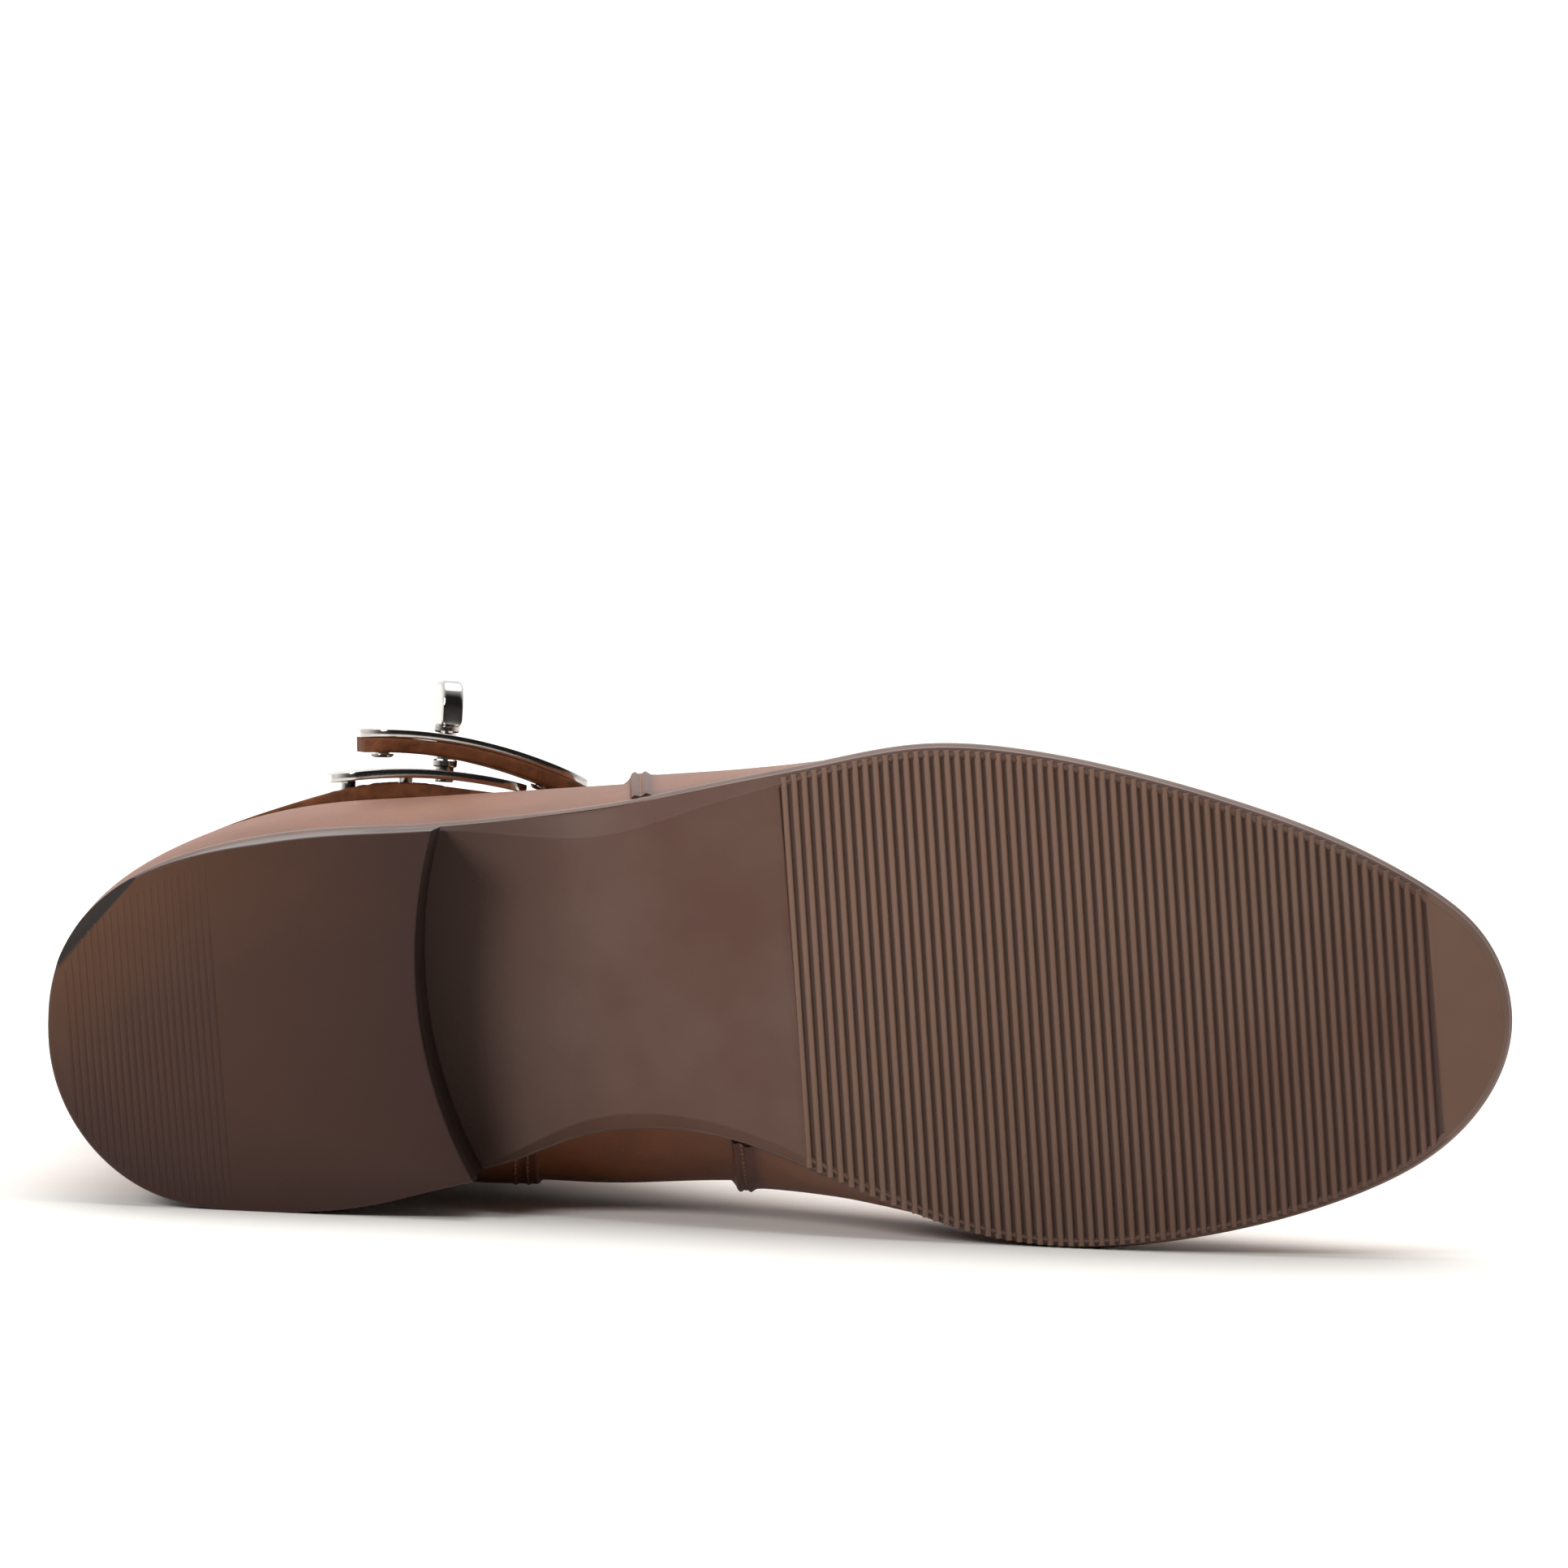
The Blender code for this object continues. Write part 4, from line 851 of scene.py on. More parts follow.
def heel_tread():
    low, high = level_at(0), level_at(TOP_PIECE_HEIGHT)
    finishes = [HEEL_RUBBER, HEEL_LACQUER]
    mesh = heel_layer("heel_tread", 0.2 * MM, low, high, 0.45 * MM, 0.2 * MM, finishes)
    shape = bmesh.new()
    shape.from_mesh(mesh)
    everything = shape.verts[:] + shape.edges[:] + shape.faces[:]
    cut = bmesh.ops.bisect_plane(
        shape, geom=everything, plane_co=STRIKE_POINT, plane_no=STRIKE_NORMAL, clear_outer=True
    )
    edges = [e for e in cut["geom_cut"] if isinstance(e, bmesh.types.BMEdge)]
    facet = bmesh.ops.holes_fill(shape, edges=edges, sides=0)["faces"]
    bmesh.ops.recalc_face_normals(shape, faces=shape.faces)
    for face in facet:
        face.material_index = 0
    print("strike facet faces:", len(facet), "open edges:", sum(e.is_boundary for e in shape.edges))
    shape.to_mesh(mesh)
    shape.free()
    at = points_of(mesh)
    depth = (at - np.array(STRIKE_POINT)) @ np.array(STRIKE_NORMAL.normalized())
    marked(mesh, "painted_shade_and_grime", np.abs(depth) < 0.02 * MM)
    # Painted shade: the tread darkens across from its outer back corner.
    marked(mesh, "wear_and_painted_light", heel_painted_shade(at))
    return piece("heel_tread", mesh, "heel_top_piece")


heel_block()
heel_tread()

# %% Fine ribs on the heel's tread
HEEL_RIB_PITCH = 1.25 * MM
HEEL_RIB_HEIGHT = 0.09 * MM
HEEL_RIBS_START, HEEL_RIBS_END = 4 * MM, 44 * MM  # they fade out from the back to the end
HEEL_RIBS_INSET = 1.0 * MM
HEEL_RIB_BASE, HEEL_RIB_CREST, HEEL_RIB_SOFT_EDGE = 0.9 * MM, 0.4 * MM, 0.03 * MM
LOWEST_HEEL_RIB = 0.02 * MM


def heel_ribs():
    outer_x, outer_y = inset_side(LATERAL, level_at(HEEL_RIBS_INSET))
    inner_x, inner_y = inset_side(MEDIAL, level_at(HEEL_RIBS_INSET))
    paths = []
    for x in np.arange(HEEL_RIBS_START, HEEL_RIBS_END, HEEL_RIB_PITCH):
        # The strike bevel's edge is where its plane meets the tread.
        bevel_y = STRIKE_POINT.y - STRIKE_NORMAL.x / STRIKE_NORMAL.y * (x - STRIKE_POINT.x)
        low = max(np.interp(x, outer_x, outer_y), bevel_y)
        high = np.interp(x, inner_x, inner_y)
        fade = HEEL_RIB_HEIGHT * eased((HEEL_RIBS_END - x) / HEEL_RIBS_END)
        if fade < LOWEST_HEEL_RIB:
            continue
        y = np.linspace(low, high, 12)
        paths.append(np.column_stack([0 * y + x, y, 0 * y + HEEL_RIB_HEIGHT / 2 - fade]))
    sizes = {"Base width": HEEL_RIB_BASE, "Crest width": HEEL_RIB_CREST, "Height": HEEL_RIB_HEIGHT}
    sizes |= {"Soft edge": HEEL_RIB_SOFT_EDGE, "Material": HEEL_RUBBER}
    mesh = grown(paths_mesh("heel_ribs", paths), RIB_TREE, sizes)
    # Painted shade, as on the heel's tread.
    marked(mesh, "wear_and_painted_light", heel_painted_shade(points_of(mesh)))
    return piece("heel_ribs", mesh)


heel_ribs()

# %% [markdown]
# ## Leathers
# The upper is smooth calf, dyed red-brown and polished: a fine pebble from the skin's pores, a soft cloud
# of tone, and darker burnish along the sole, the collar and the folded edges. The lining is undyed and
# dull. Cut edges of the strap show the tan core. Thread is waxed and close in colour to the calf.

# %% Leather and thread finishes
def pebbled(tree, cell, depth):
    """Normal of leather grain: shallow cells with creased borders, sizes in millimetres."""
    place = add(tree, "ShaderNodeTexCoord")
    seen = place.outputs["Object"]
    cells = add(
        tree, "ShaderNodeTexVoronoi", {"Vector": seen, "Scale": per_mm(cell)}, feature="DISTANCE_TO_EDGE"
    )
    border = add(tree, "ShaderNodeMapRange", {"Value": cells.outputs["Distance"], "From Max": 0.22})
    pores = add(tree, "ShaderNodeTexNoise", {"Vector": seen, "Scale": per_mm(cell * 0.45), "Detail": 2.0})
    height = add(tree, "ShaderNodeMath", {0: border.outputs[0], 1: pores.outputs["Fac"]}, operation="ADD")
    relief = {"Height": height.outputs[0], "Distance": depth * MM, "Strength": 0.8}
    return add(tree, "ShaderNodeBump", relief).outputs["Normal"]


def calf(name, dark, light, burnish):
    """Polished calf: warm brown, softly glossy, with fine grain and darker burnished edges."""
    made, tree, shader = finish(
        name, Roughness=0.48, IOR=1.5, Coat_Weight=0.06, Coat_Roughness=0.25, Specular_IOR_Level=0.26
    )
    colour = mottled(tree, 18, dark, light, detail=4.0)
    tree.links.new(darkened(tree, colour, "burnish", burnish), shader.inputs["Base Color"])
    # Calf grain is about 0.3 mm across; cells of 0.7 mm read as grain at this picture's size.
    tree.links.new(pebbled(tree, 0.7, 0.035), shader.inputs["Normal"])
    return made


def raw_leather(name, dark, light, fibre, depth):
    """Undyed or cut leather: dull and a little fibrous."""
    made, tree, shader = finish(name, Roughness=0.85, Specular_IOR_Level=0.3)
    tree.links.new(mottled(tree, fibre * 6, dark, light, detail=5.0), shader.inputs["Base Color"])
    tree.links.new(roughened(tree, fibre, depth), shader.inputs["Normal"])
    return made


UPPER_CALF = calf("polished_calf", "#6e3f26", "#824f31", "#452016")
STRAP_CALF = calf("strap_calf", "#6b3f29", "#7d4d34", "#3a1d13")
LINING = raw_leather("lining_leather", "#b08a62", "#c6a27a", 0.8, 0.05)
INSOLE_LEATHER = raw_leather("insole_board_leather", "#a57f58", "#b9946c", 0.8, 0.05)
CUT_EDGE = raw_leather("painted_cut_edge", "#3a2016", "#4d2d1e", 0.4, 0.05)
STRAP_CUT_EDGE = raw_leather("strap_cut_edge", "#4c2812", "#724122", 0.4, 0.08)


def waxed_thread():
    """Waxed sewing thread: twisted fibre with a soft sheen, a shade lighter than the calf."""
    made, tree, shader = finish("waxed_thread", Roughness=0.55)
    tree.links.new(mottled(tree, 2.5, "#6f4a33", "#8a6246"), shader.inputs["Base Color"])
    tree.links.new(roughened(tree, 0.25, 0.04), shader.inputs["Normal"])
    return made


THREAD = waxed_thread()
SOFT_FINISHES = (UPPER_CALF, STRAP_CALF, LINING, INSOLE_LEATHER, CUT_EDGE, STRAP_CUT_EDGE, THREAD)
print("soft finishes:", [made.name for made in SOFT_FINISHES])

# %% [markdown]
# ## The upper's form
# The upper is a skin stretched over the last. Rings from the sole to the collar hold a point on the heel's
# back line, a point on the toe and instep line and the breadths between. Near the sole a ring hugs the
# sole's edge; higher up it turns into the egg of the ankle. Two overlays stand proud of it: the vamp, whose
# back edge crosses the quarters, and on the inner side the counter.

# %% Surface of the upper
UPPER_RINGS = (
    # back x, back rise, front x, front rise, lateral, medial, widest from on the outer side, widest to, hug
    (1.8, 0.3, 255.6, 0.3, 40.0, 45.0, 0.20, 0.50, 1.00),
    (1.0, 7.0, 256.8, 5.5, 39.0, 44.5, 0.21, 0.48, 0.87),
    (0.6, 15.0, 255.0, 12.5, 38.0, 43.5, 0.23, 0.46, 0.70),
    (0.9, 23.0, 248.0, 19.8, 36.8, 41.0, 0.25, 0.43, 0.52),
    (2.6, 31.5, 231.0, 29.0, 35.6, 38.5, 0.265, 0.41, 0.34),
    (5.6, 41.0, 203.0, 42.0, 33.8, 36.4, 0.28, 0.39, 0.18),
    (8.2, 51.0, 173.0, 55.5, 31.2, 34.8, 0.39, 0.39, 0.08),
    (10.6, 62.0, 146.0, 69.0, 26.8, 33.4, 0.41, 0.41, 0.03),
    (11.8, 74.0, 124.0, 82.0, 25.4, 32.6, 0.43, 0.44, 0.00),
    (11.6, 87.0, 111.5, 94.5, 25.6, 33.4, 0.47, 0.47, 0.00),
    (10.8, 101.0, 107.0, 108.5, 25.2, 34.8, 0.49, 0.49, 0.00),
    (9.8, 117.0, 105.5, 123.0, 24.4, 36.2, 0.50, 0.50, 0.00),
)
RIDGE_Y = (
    # x, sideways place of the toe and instep line
    (90, 1.2),
    (130, 2.6),
    (175, 6.5),
    (215, 11.5),
    (260, 17.0),
)
FEATHER_SCALE = 0.945
WAIST_BULGE, WAIST_BULGE_X, WAIST_BULGE_LENGTH = 3.6 * MM, 98 * MM, 20 * MM  # over the narrow waist
LEATHER = 2.0 * MM


def ring_value(level, index, scale=MM):
    values = [row[index] * scale for row in UPPER_RINGS]
    return level_keeping(np.linspace(0, 1, len(UPPER_RINGS)), values, level)


def oval(share, first, last):
    """Half-breadth of an egg from heel to toe as a share of its largest, which it has from first to last."""
    away = np.where(share < first, 1 - share / first, np.clip((share - last) / (1 - last), 0, 1))
    return np.sqrt(np.clip(1 - away**2, 0, 1))


def upper_base(level, share, side):
    """Points of the upper's face without its overlays; level runs from 0, the sole, to 1, the collar."""
    level, share, side = np.broadcast_arrays(np.asarray(level, float), share, side)
    back_x, back_rise, front_x, front_rise = (ring_value(level, i) for i in range(4))
    breadth = np.where(side == LATERAL, ring_value(level, 4), ring_value(level, 5))
    last, hug = ring_value(level, 7, 1), ring_value(level, 8, 1)
    first = np.where(side == LATERAL, ring_value(level, 6, 1), last)
    x = back_x + (front_x - back_x) * share
    back_z, front_z = sole_top_z(back_x) + back_rise, sole_top_z(front_x) + front_rise
    hugging_z = sole_top_z(x) + back_rise + (front_rise - back_rise) * share
    z = hug * hugging_z + (1 - hug) * (back_z + (front_z - back_z) * share)
    ridge = flowing(column(RIDGE_Y, 0), column(RIDGE_Y, 1), np.maximum(front_x, RIDGE_Y[0][0] * MM))
    egg_y = ridge * share**2 + side * breadth * oval(share, first, last)
    outer, inner = sole_y(share, LATERAL), sole_y(share, MEDIAL)
    middle = (outer + inner) / 2
    hugging_y = middle + (np.where(side == LATERAL, outer, inner) - middle) * FEATHER_SCALE
    over_waist = WAIST_BULGE * 4 * hug * (1 - hug) * bell(x, WAIST_BULGE_X, WAIST_BULGE_LENGTH)
    y = hug * hugging_y + (1 - hug) * egg_y + np.where(side == MEDIAL, over_waist, 0)
    return np.stack([x, y, z], axis=-1)


def upper_normal(level, share, side):
    """Outward direction of the upper's face."""
    small = 1e-3
    above = upper_base(np.minimum(level + small, 1), share, side)
    up = above - upper_base(np.maximum(level - small, 0), share, side)
    # Near heel and toe the two sides meet, so the turn round the ring is taken as an angle.
    turn = np.arccos(1 - 2 * np.clip(share, 0, 1)) * np.asarray(side)

    def at_turn(value):
        wrapped = np.where(np.abs(value) > math.pi, value - 2 * math.pi * np.sign(value), value)
        return upper_base(level, (1 - np.cos(wrapped)) / 2, np.where(wrapped < 0, LATERAL, MEDIAL))

    normal = np.cross(up, at_turn(turn + small) - at_turn(turn - small))
    return normal / np.linalg.norm(normal, axis=-1, keepdims=True)


def edge_share(x):
    """Share of the upper's sole line at a distance from the heel's back."""
    back, front = UPPER_RINGS[0][0] * MM, UPPER_RINGS[0][2] * MM
    return (x - back) / (front - back)


VAMP_EDGE = {LATERAL: edge_share(106.8 * MM), MEDIAL: edge_share(120 * MM)}
COUNTER_EDGE = edge_share(85 * MM)
VAMP_STEP, VAMP_STEP_ON_SHAFT = 1.3 * MM, 0.25 * MM
COUNTER_STEP, COUNTER_SKIVE = 0.8 * MM, 26 * MM
OVERLAY_EDGE = 0.7 * MM
OVERLAY_UPRIGHT_TO = 0.48  # level up to which the overlays' edges climb upright
OVERLAY_TURN = 0.03  # levels over which they turn back from there
SHAFT_LEVEL, SHAFT_BLEND = 0.38, 0.1  # the overlays lie down from this level, over this many levels
ROLL_LOST, COUNTER_LOST = 0.85, 0.6  # shares of the bead and of the counter that they lose there
ROLL = 0.75 * MM  # the folded edge swells into two beads, with the seam in the hollow between them
ROLL_BEADS, ROLL_BEAD_WIDTH = (1.0 * MM, 3.0 * MM), 0.75 * MM
ROLL_WIDTH = 4.0 * MM


def vamp_edge(side):
    return np.where(side == LATERAL, VAMP_EDGE[LATERAL], VAMP_EDGE[MEDIAL])


def past_edge(level, share, edge):
    """How far in front of an overlay's edge a point lies."""
    return (share - edge) * (ring_value(level, 2) - ring_value(level, 0))


def bent_share(level, share, side):
    """Moves stations forward as the rings grow shorter, so that the overlays' edges climb upright."""
    turn = OVERLAY_TURN
    upright = -turn * np.log(np.exp(-np.asarray(level) / turn) + math.exp(-OVERLAY_UPRIGHT_TO / turn))
    low = vamp_edge(side)
    x = ring_value(0.0, 0) + low * (ring_value(0.0, 2) - ring_value(0.0, 0))
    here = (x - ring_value(upright, 0)) / (ring_value(upright, 2) - ring_value(upright, 0))
    return np.where(share < low, share * here / low, 1 - (1 - share) * (1 - here) / (1 - low))


def overlay(level, share, side):
    """How far the vamp and the counter stand off the upper's face."""
    soft = np.clip((level - SHAFT_LEVEL) / SHAFT_BLEND, 0, 1)
    ahead = past_edge(level, share, vamp_edge(side))
    step = VAMP_STEP + (VAMP_STEP_ON_SHAFT - VAMP_STEP) * soft
    roll = ROLL * sum(bell(ahead, bead, ROLL_BEAD_WIDTH) for bead in ROLL_BEADS)
    vamp = eased(ahead / OVERLAY_EDGE + 0.5) * (step + roll * (1 - ROLL_LOST * soft))
    behind = -past_edge(level, share, COUNTER_EDGE)
    skived = np.clip(1 - behind / COUNTER_SKIVE, 0, 1)
    counter = eased(behind / OVERLAY_EDGE + 0.5) * COUNTER_STEP * skived * (1 - COUNTER_LOST * soft)
    return vamp + np.where(side == MEDIAL, counter, 0)


print("shaft depth at the collar, mm:", round((ring_value(1.0, 2) - ring_value(1.0, 0)) / MM, 1))

# %% [markdown]
# ## Creases
# Leather that has been bent keeps soft hollows where it folds: across the vamp behind the toes, in front of
# the ankle and above the heel. Each is given as a line on the upper, from a level on the front or back
# line out to a place on the side, with a width and a depth in millimetres. The skin sinks along the line
# and swells a little on both sides of it. This boot is almost new, so they are shallow.

# %% Crease lines
CREASES = (
    # starts on, at level, ends at share, at level, bow in level, width, depth
    ("front", 0.520, 0.70, 0.20, 0.03, 3.6, 0.50),
    ("front", 0.575, 0.66, 0.26, 0.03, 3.2, 0.42),
    ("front", 0.465, 0.76, 0.16, 0.02, 3.0, 0.30),
    ("front", 0.690, 0.62, 0.56, 0.03, 4.4, 0.70),
    ("front", 0.745, 0.60, 0.64, 0.02, 3.8, 0.50),
    ("front", 0.640, 0.66, 0.50, 0.02, 3.4, 0.40),
    ("back", 0.640, 0.24, 0.60, -0.02, 4.0, 0.45),
    ("back", 0.700, 0.20, 0.67, -0.02, 3.6, 0.35),
)
CREASE_STEPS = 30
SWELL, SWELL_AWAY, SWELL_SPREAD = 0.45, 1.7, 0.5  # beside a crease, in its depths and widths


def crease_line(row, side):
    starts, level, end_share, end_level, bow = row[:5]
    along = np.linspace(0, 1, CREASE_STEPS)
    share = (1.0 if starts == "front" else 0.0) * (1 - along) + end_share * along
    climb = level * (1 - along) + end_level * along + bow * np.sin(math.pi * along)
    return upper_base(climb, share, side), 1 - eased(along * 1.3 - 0.3)


def crease_relief(points):
    """Height of the hollows and swells at points of the upper, in metres."""
    relief = np.zeros(points.shape[:-1])
    for row in CREASES:
        width, depth = row[5] * MM, row[6] * MM
        lines = [crease_line(row, side) for side in (LATERAL, MEDIAL)]
        line, strength = (np.concatenate(both) for both in zip(*lines))
        nearest, strong = np.full(relief.shape, 1.0), np.zeros(relief.shape)
        for place, force in zip(line, strength):
            away = np.linalg.norm(points - place, axis=-1)
            closer = away < nearest
            nearest, strong = np.where(closer, away, nearest), np.where(closer, force, strong)
        u = nearest / width
        swell = SWELL * np.exp(-((u - SWELL_AWAY) ** 2) / SWELL_SPREAD)
        relief += depth * strong * (swell - np.exp(-(u**2)))
    return relief


# %% Upper wall
UPPER_ROWS, RIM_ROWS, LINING_ROWS, UPPER_SIDE_STEPS = 150, 7, 50, 150
ROW_CROWDING = 1.15  # the rows lie closer near the sole
RIM_LIFT = 0.8  # height of the collar's rim, as a share of half the leather
SOLE_BURNISH, SOLE_BURNISH_FADE = 0.75, 0.03  # the fade is in levels
COLLAR_BURNISH, COLLAR_BURNISH_FADE = 0.6, 0.015
EDGE_BURNISH, ROLL_FADE, COUNTER_FADE = 0.7, 1.2 * MM, 2 * MM
# Millimetres about an overlay's edge.
EDGE_STATIONS = (-0.9, -0.45, -0.2, 0, 0.2, 0.45, 0.75, 1.1, 1.5, 2.0, 2.5, 3.0, 3.5, 4.0, 4.6)


def upper_stations():
    """Stations round the upper, with close ones at each overlay's edge."""
    stations = []
    for side in (LATERAL, MEDIAL):
        close = [VAMP_EDGE[side] + at * MM / SOLE_LENGTH for at in EDGE_STATIONS]
        if side == MEDIAL:
            close += [COUNTER_EDGE - at * MM / SOLE_LENGTH for at in EDGE_STATIONS]
        clear = [s for s in side_share(UPPER_SIDE_STEPS) if min(abs(s - c) for c in close) > 0.002]
        along = sorted(clear + close)
        stations += [(side, s) for s in (along if side == LATERAL else along[-2:0:-1])]
    return np.array(stations, float).T


def upper_outer(level, share, side):
    bent = bent_share(level, share, side)
    base = upper_base(level, bent, side)
    raised = overlay(level, share, side) + crease_relief(base)
    return base + upper_normal(level, bent, side) * raised[..., None]


def burnish_of(level, share, side):
    """Where the calf is darker: near the sole, at the collar and on the folded edges."""
    near_sole = SOLE_BURNISH * np.exp(-level / SOLE_BURNISH_FADE)
    near_collar = COLLAR_BURNISH * np.exp(-(1 - level) / COLLAR_BURNISH_FADE)
    ahead = past_edge(level, share, vamp_edge(side))
    folded = eased(ahead / OVERLAY_EDGE + 0.5) * (1 - eased((ahead - ROLL_WIDTH) / ROLL_FADE))
    behind = -past_edge(level, share, COUNTER_EDGE)
    counter = eased(behind / OVERLAY_EDGE + 0.5) * (1 - eased(behind / COUNTER_FADE - 1))
    on_edges = EDGE_BURNISH * (folded + np.where(side == MEDIAL, counter, 0))
    return np.clip(near_sole + near_collar + on_edges, 0, 1)


def upper_wall():
    sides, shares = upper_stations()
    levels = np.linspace(0, 1, UPPER_ROWS)[:, None] ** ROW_CROWDING
    outer = upper_outer(levels, shares, sides)
    lining_levels = np.linspace(1, 0, LINING_ROWS)[:, None]
    bent = bent_share(lining_levels, shares, sides)
    inner = upper_base(lining_levels, bent, sides) - upper_normal(lining_levels, bent, sides) * LEATHER
    for ring in (outer[0], inner[-1]):
        ring[:, 2] = sole_top_z(ring[:, 0]) + FIT_GAP
    # The collar's rim is a half round from the face to the lining.
    rim = []
    middle, half = (outer[-1] + inner[0]) / 2, (outer[-1] - inner[0]) / 2
    for turn in np.linspace(0, math.pi, RIM_ROWS + 2)[1:-1]:
        lift = np.array([0, 0, 1]) * np.linalg.norm(half, axis=1)[:, None] * RIM_LIFT
        rim.append(middle + half * math.cos(turn) + lift * math.sin(turn))
    rings = list(outer) + rim + list(inner)
    points, faces = joined_rings(rings, closed=True)
    count = len(sides)
    index = np.zeros(len(rings), int)
    index[UPPER_ROWS + RIM_ROWS - 2 : -1] = 1
    index[-1] = 2
    burnish = np.zeros((len(rings), count))
    burnish[:UPPER_ROWS] = burnish_of(levels, shares, sides)
    burnish[UPPER_ROWS : UPPER_ROWS + RIM_ROWS] = COLLAR_BURNISH
    mesh = mesh_from("upper_wall", points, faces, [UPPER_CALF, LINING, CUT_EDGE], np.repeat(index, count))
    # Doubles are merged only at heel and toe stations, which the rings already share, so the order holds.
    assert len(mesh.vertices) == burnish.size
    marked(mesh, "burnish", burnish.ravel())
    return piece("upper_wall", mesh, "upper")


upper_wall()

# %% [markdown]
# ## Insole
# Inside the upper a leather-covered board lies on the sole. Only its edge of light shows, deep in the shaft,
# so it is the solid's own outline with soft edges.

# %% Insole
INSOLE_RISE = 0.4 * MM
INSOLE_ROWS = ((0.5, 0), (0, 0.4), (0, 2.2), (0.25, 2.75), (0.9, 3.0), (4.0, 3.0))  # pulled in, up, mm


def insole_board():
    shares = side_share(90)
    sides = np.concatenate([np.full(len(shares), LATERAL), np.full(len(shares) - 2, MEDIAL)])
    along = np.concatenate([shares, shares[-2:0:-1]])
    flat = upper_normal(0 * along, along, sides) * (1, 1, 0)
    flat /= np.linalg.norm(flat, axis=1, keepdims=True)
    rings = []
    for pull, rise in INSOLE_ROWS:
        ring = upper_base(0 * along, along, sides) - flat * (LEATHER + 4 * FIT_GAP + pull * MM)
        ring[:, 2] = sole_top_z(ring[:, 0]) + INSOLE_RISE + rise * MM
        rings.append(ring)
    points, faces = joined_rings(rings)
    count = len(along)
    faces += strip_cap(0, count) + strip_cap((len(rings) - 1) * count, count)
    mesh = mesh_from("insole_board", points, faces, [INSOLE_LEATHER])
    return piece("insole_board", mesh, "insole")


insole_board()

# %% [markdown]
# ## Strap
# One leather strap winds round the ankle and overlaps on the outer side, where the clasp holds it. It lies
# close on the shaft, keeps its width where the shaft leans, and runs off the shaft in a smooth bend to lie
# under the clasp's plate. Each station along it is a rounded section between the strap's two faces; the cut
# edges get their own finish.

# %% The strap's route and the clasp's place
STRAP_BACK_Z, STRAP_FRONT_Z, STRAP_RUN = 81 * MM, 94 * MM, 112 * MM
STRAP_WIDTH, STRAP_THICKNESS = 18.6 * MM, 2.4 * MM
STRAP_OVER_UPPER = VAMP_STEP_ON_SHAFT + FIT_GAP + 0.5 * MM
STRAP_FRONT_SLACK = 1.7 * MM
STRAP_START_X = 84 * MM
STRAP_LEAVES_SHARE = 0.80
STRAP_END_ROUND, STRAP_SOFT_EDGE = 7 * MM, 0.6 * MM
CLASP_SLACK, CLASP_SLACK_LOW, CLASP_SLACK_X, CLASP_SLACK_LENGTH = 3.2 * MM, 2.2 * MM, 63 * MM, 15 * MM
CLASP_PAD = 0.9 * MM  # the strap's inner face swells this much there
PLATE_GAP_FILL = 0.22 * MM  # and its outer face this much under the plate
STRAP_STEPS, BRIDGE_STEPS, END_STEPS = 150, 14, 40
POST_X, POST_LEAN, POST_RISE = 72.3 * MM, math.radians(8), math.radians(5)
PLATE_BACK, PLATE_FRONT = -16.0 * MM, 25.6 * MM
PLATE_RADIUS, PLATE_TILT, PLATE_TOP, PLATE_THICKNESS = 80 * MM, math.radians(-6.0), 9.6 * MM, 1.5 * MM


def shaft_point(share, side, height):
    """Point on the shaft's face, and its outward direction, at a height up the leg."""
    levels = np.linspace(0.4, 1, 200)
    level = np.interp(height, upper_base(levels, share, side)[:, 2], levels)
    return upper_base(level, share, side), upper_normal(level, share, side)


def strap_z(share):
    """Height of the strap's middle, which climbs from the heel to the instep."""
    return STRAP_BACK_Z + (STRAP_FRONT_Z - STRAP_BACK_Z) * share


def strap_clear(share, x, row=0.0):
    """Air between shaft and strap: a little all round, more at the instep and under the stiff clasp.

    The shaft leans out below the strap, so the flat band has less air at its lower edge.
    """
    slack = np.interp(row, (-STRAP_WIDTH / 2, 0), (CLASP_SLACK_LOW, CLASP_SLACK))
    under_clasp = slack * bell(x, CLASP_SLACK_X, CLASP_SLACK_LENGTH)
    return STRAP_OVER_UPPER + STRAP_FRONT_SLACK * share**2 + under_clasp


def turn_at(x, row):
    """Turn round the shaft's outer side at a distance from the heel's back, on one row of the strap."""
    turns = np.linspace(0.5, 2.6, 300)
    shares = (1 - np.cos(turns)) / 2
    found = [shaft_point(share, LATERAL, strap_z(share) + row)[0][0] for share in shares]
    return float(np.interp(x, found, turns))


def post_frame():
    """Place and directions of the clasp: along the strap to the toe, up the leg, and off the boot."""
    share = (1 - math.cos(turn_at(POST_X, 0))) / 2
    foot, _ = shaft_point(share, LATERAL, strap_z(share))
    off = Vector((math.sin(POST_LEAN), -math.cos(POST_LEAN), 0)) * math.cos(POST_RISE)
    off.z = math.sin(POST_RISE)
    climb = (STRAP_FRONT_Z - STRAP_BACK_Z) / STRAP_RUN
    along = Vector((math.cos(POST_LEAN), math.sin(POST_LEAN), climb))
    along = (along - off * along.dot(off)).normalized()
    start = Vector(foot) + off * (strap_clear(share, foot[0]) + STRAP_THICKNESS)
    turn = Matrix((along, off.cross(along), off)).transposed()
    return Matrix.Translation(start) @ turn.to_4x4()


def strap_top(along, clasp):
    """Height of the strap's inner turn at a place along the clasp, in the clasp's frame."""
    share = (1 - math.cos(turn_at((clasp @ Vector((along, 0, 0))).x, 0))) / 2
    point, normal = shaft_point(share, LATERAL, strap_z(share))
    off = normal * (strap_clear(share, point[0]) + STRAP_THICKNESS)
    return (clasp.inverted() @ Vector(point + off)).z


def plate_height(along):
    """Top of the clasp plate off the strap: an arc, tipped down towards the toe."""
    return PLATE_TOP + math.tan(PLATE_TILT) * along - along**2 / (2 * PLATE_RADIUS)


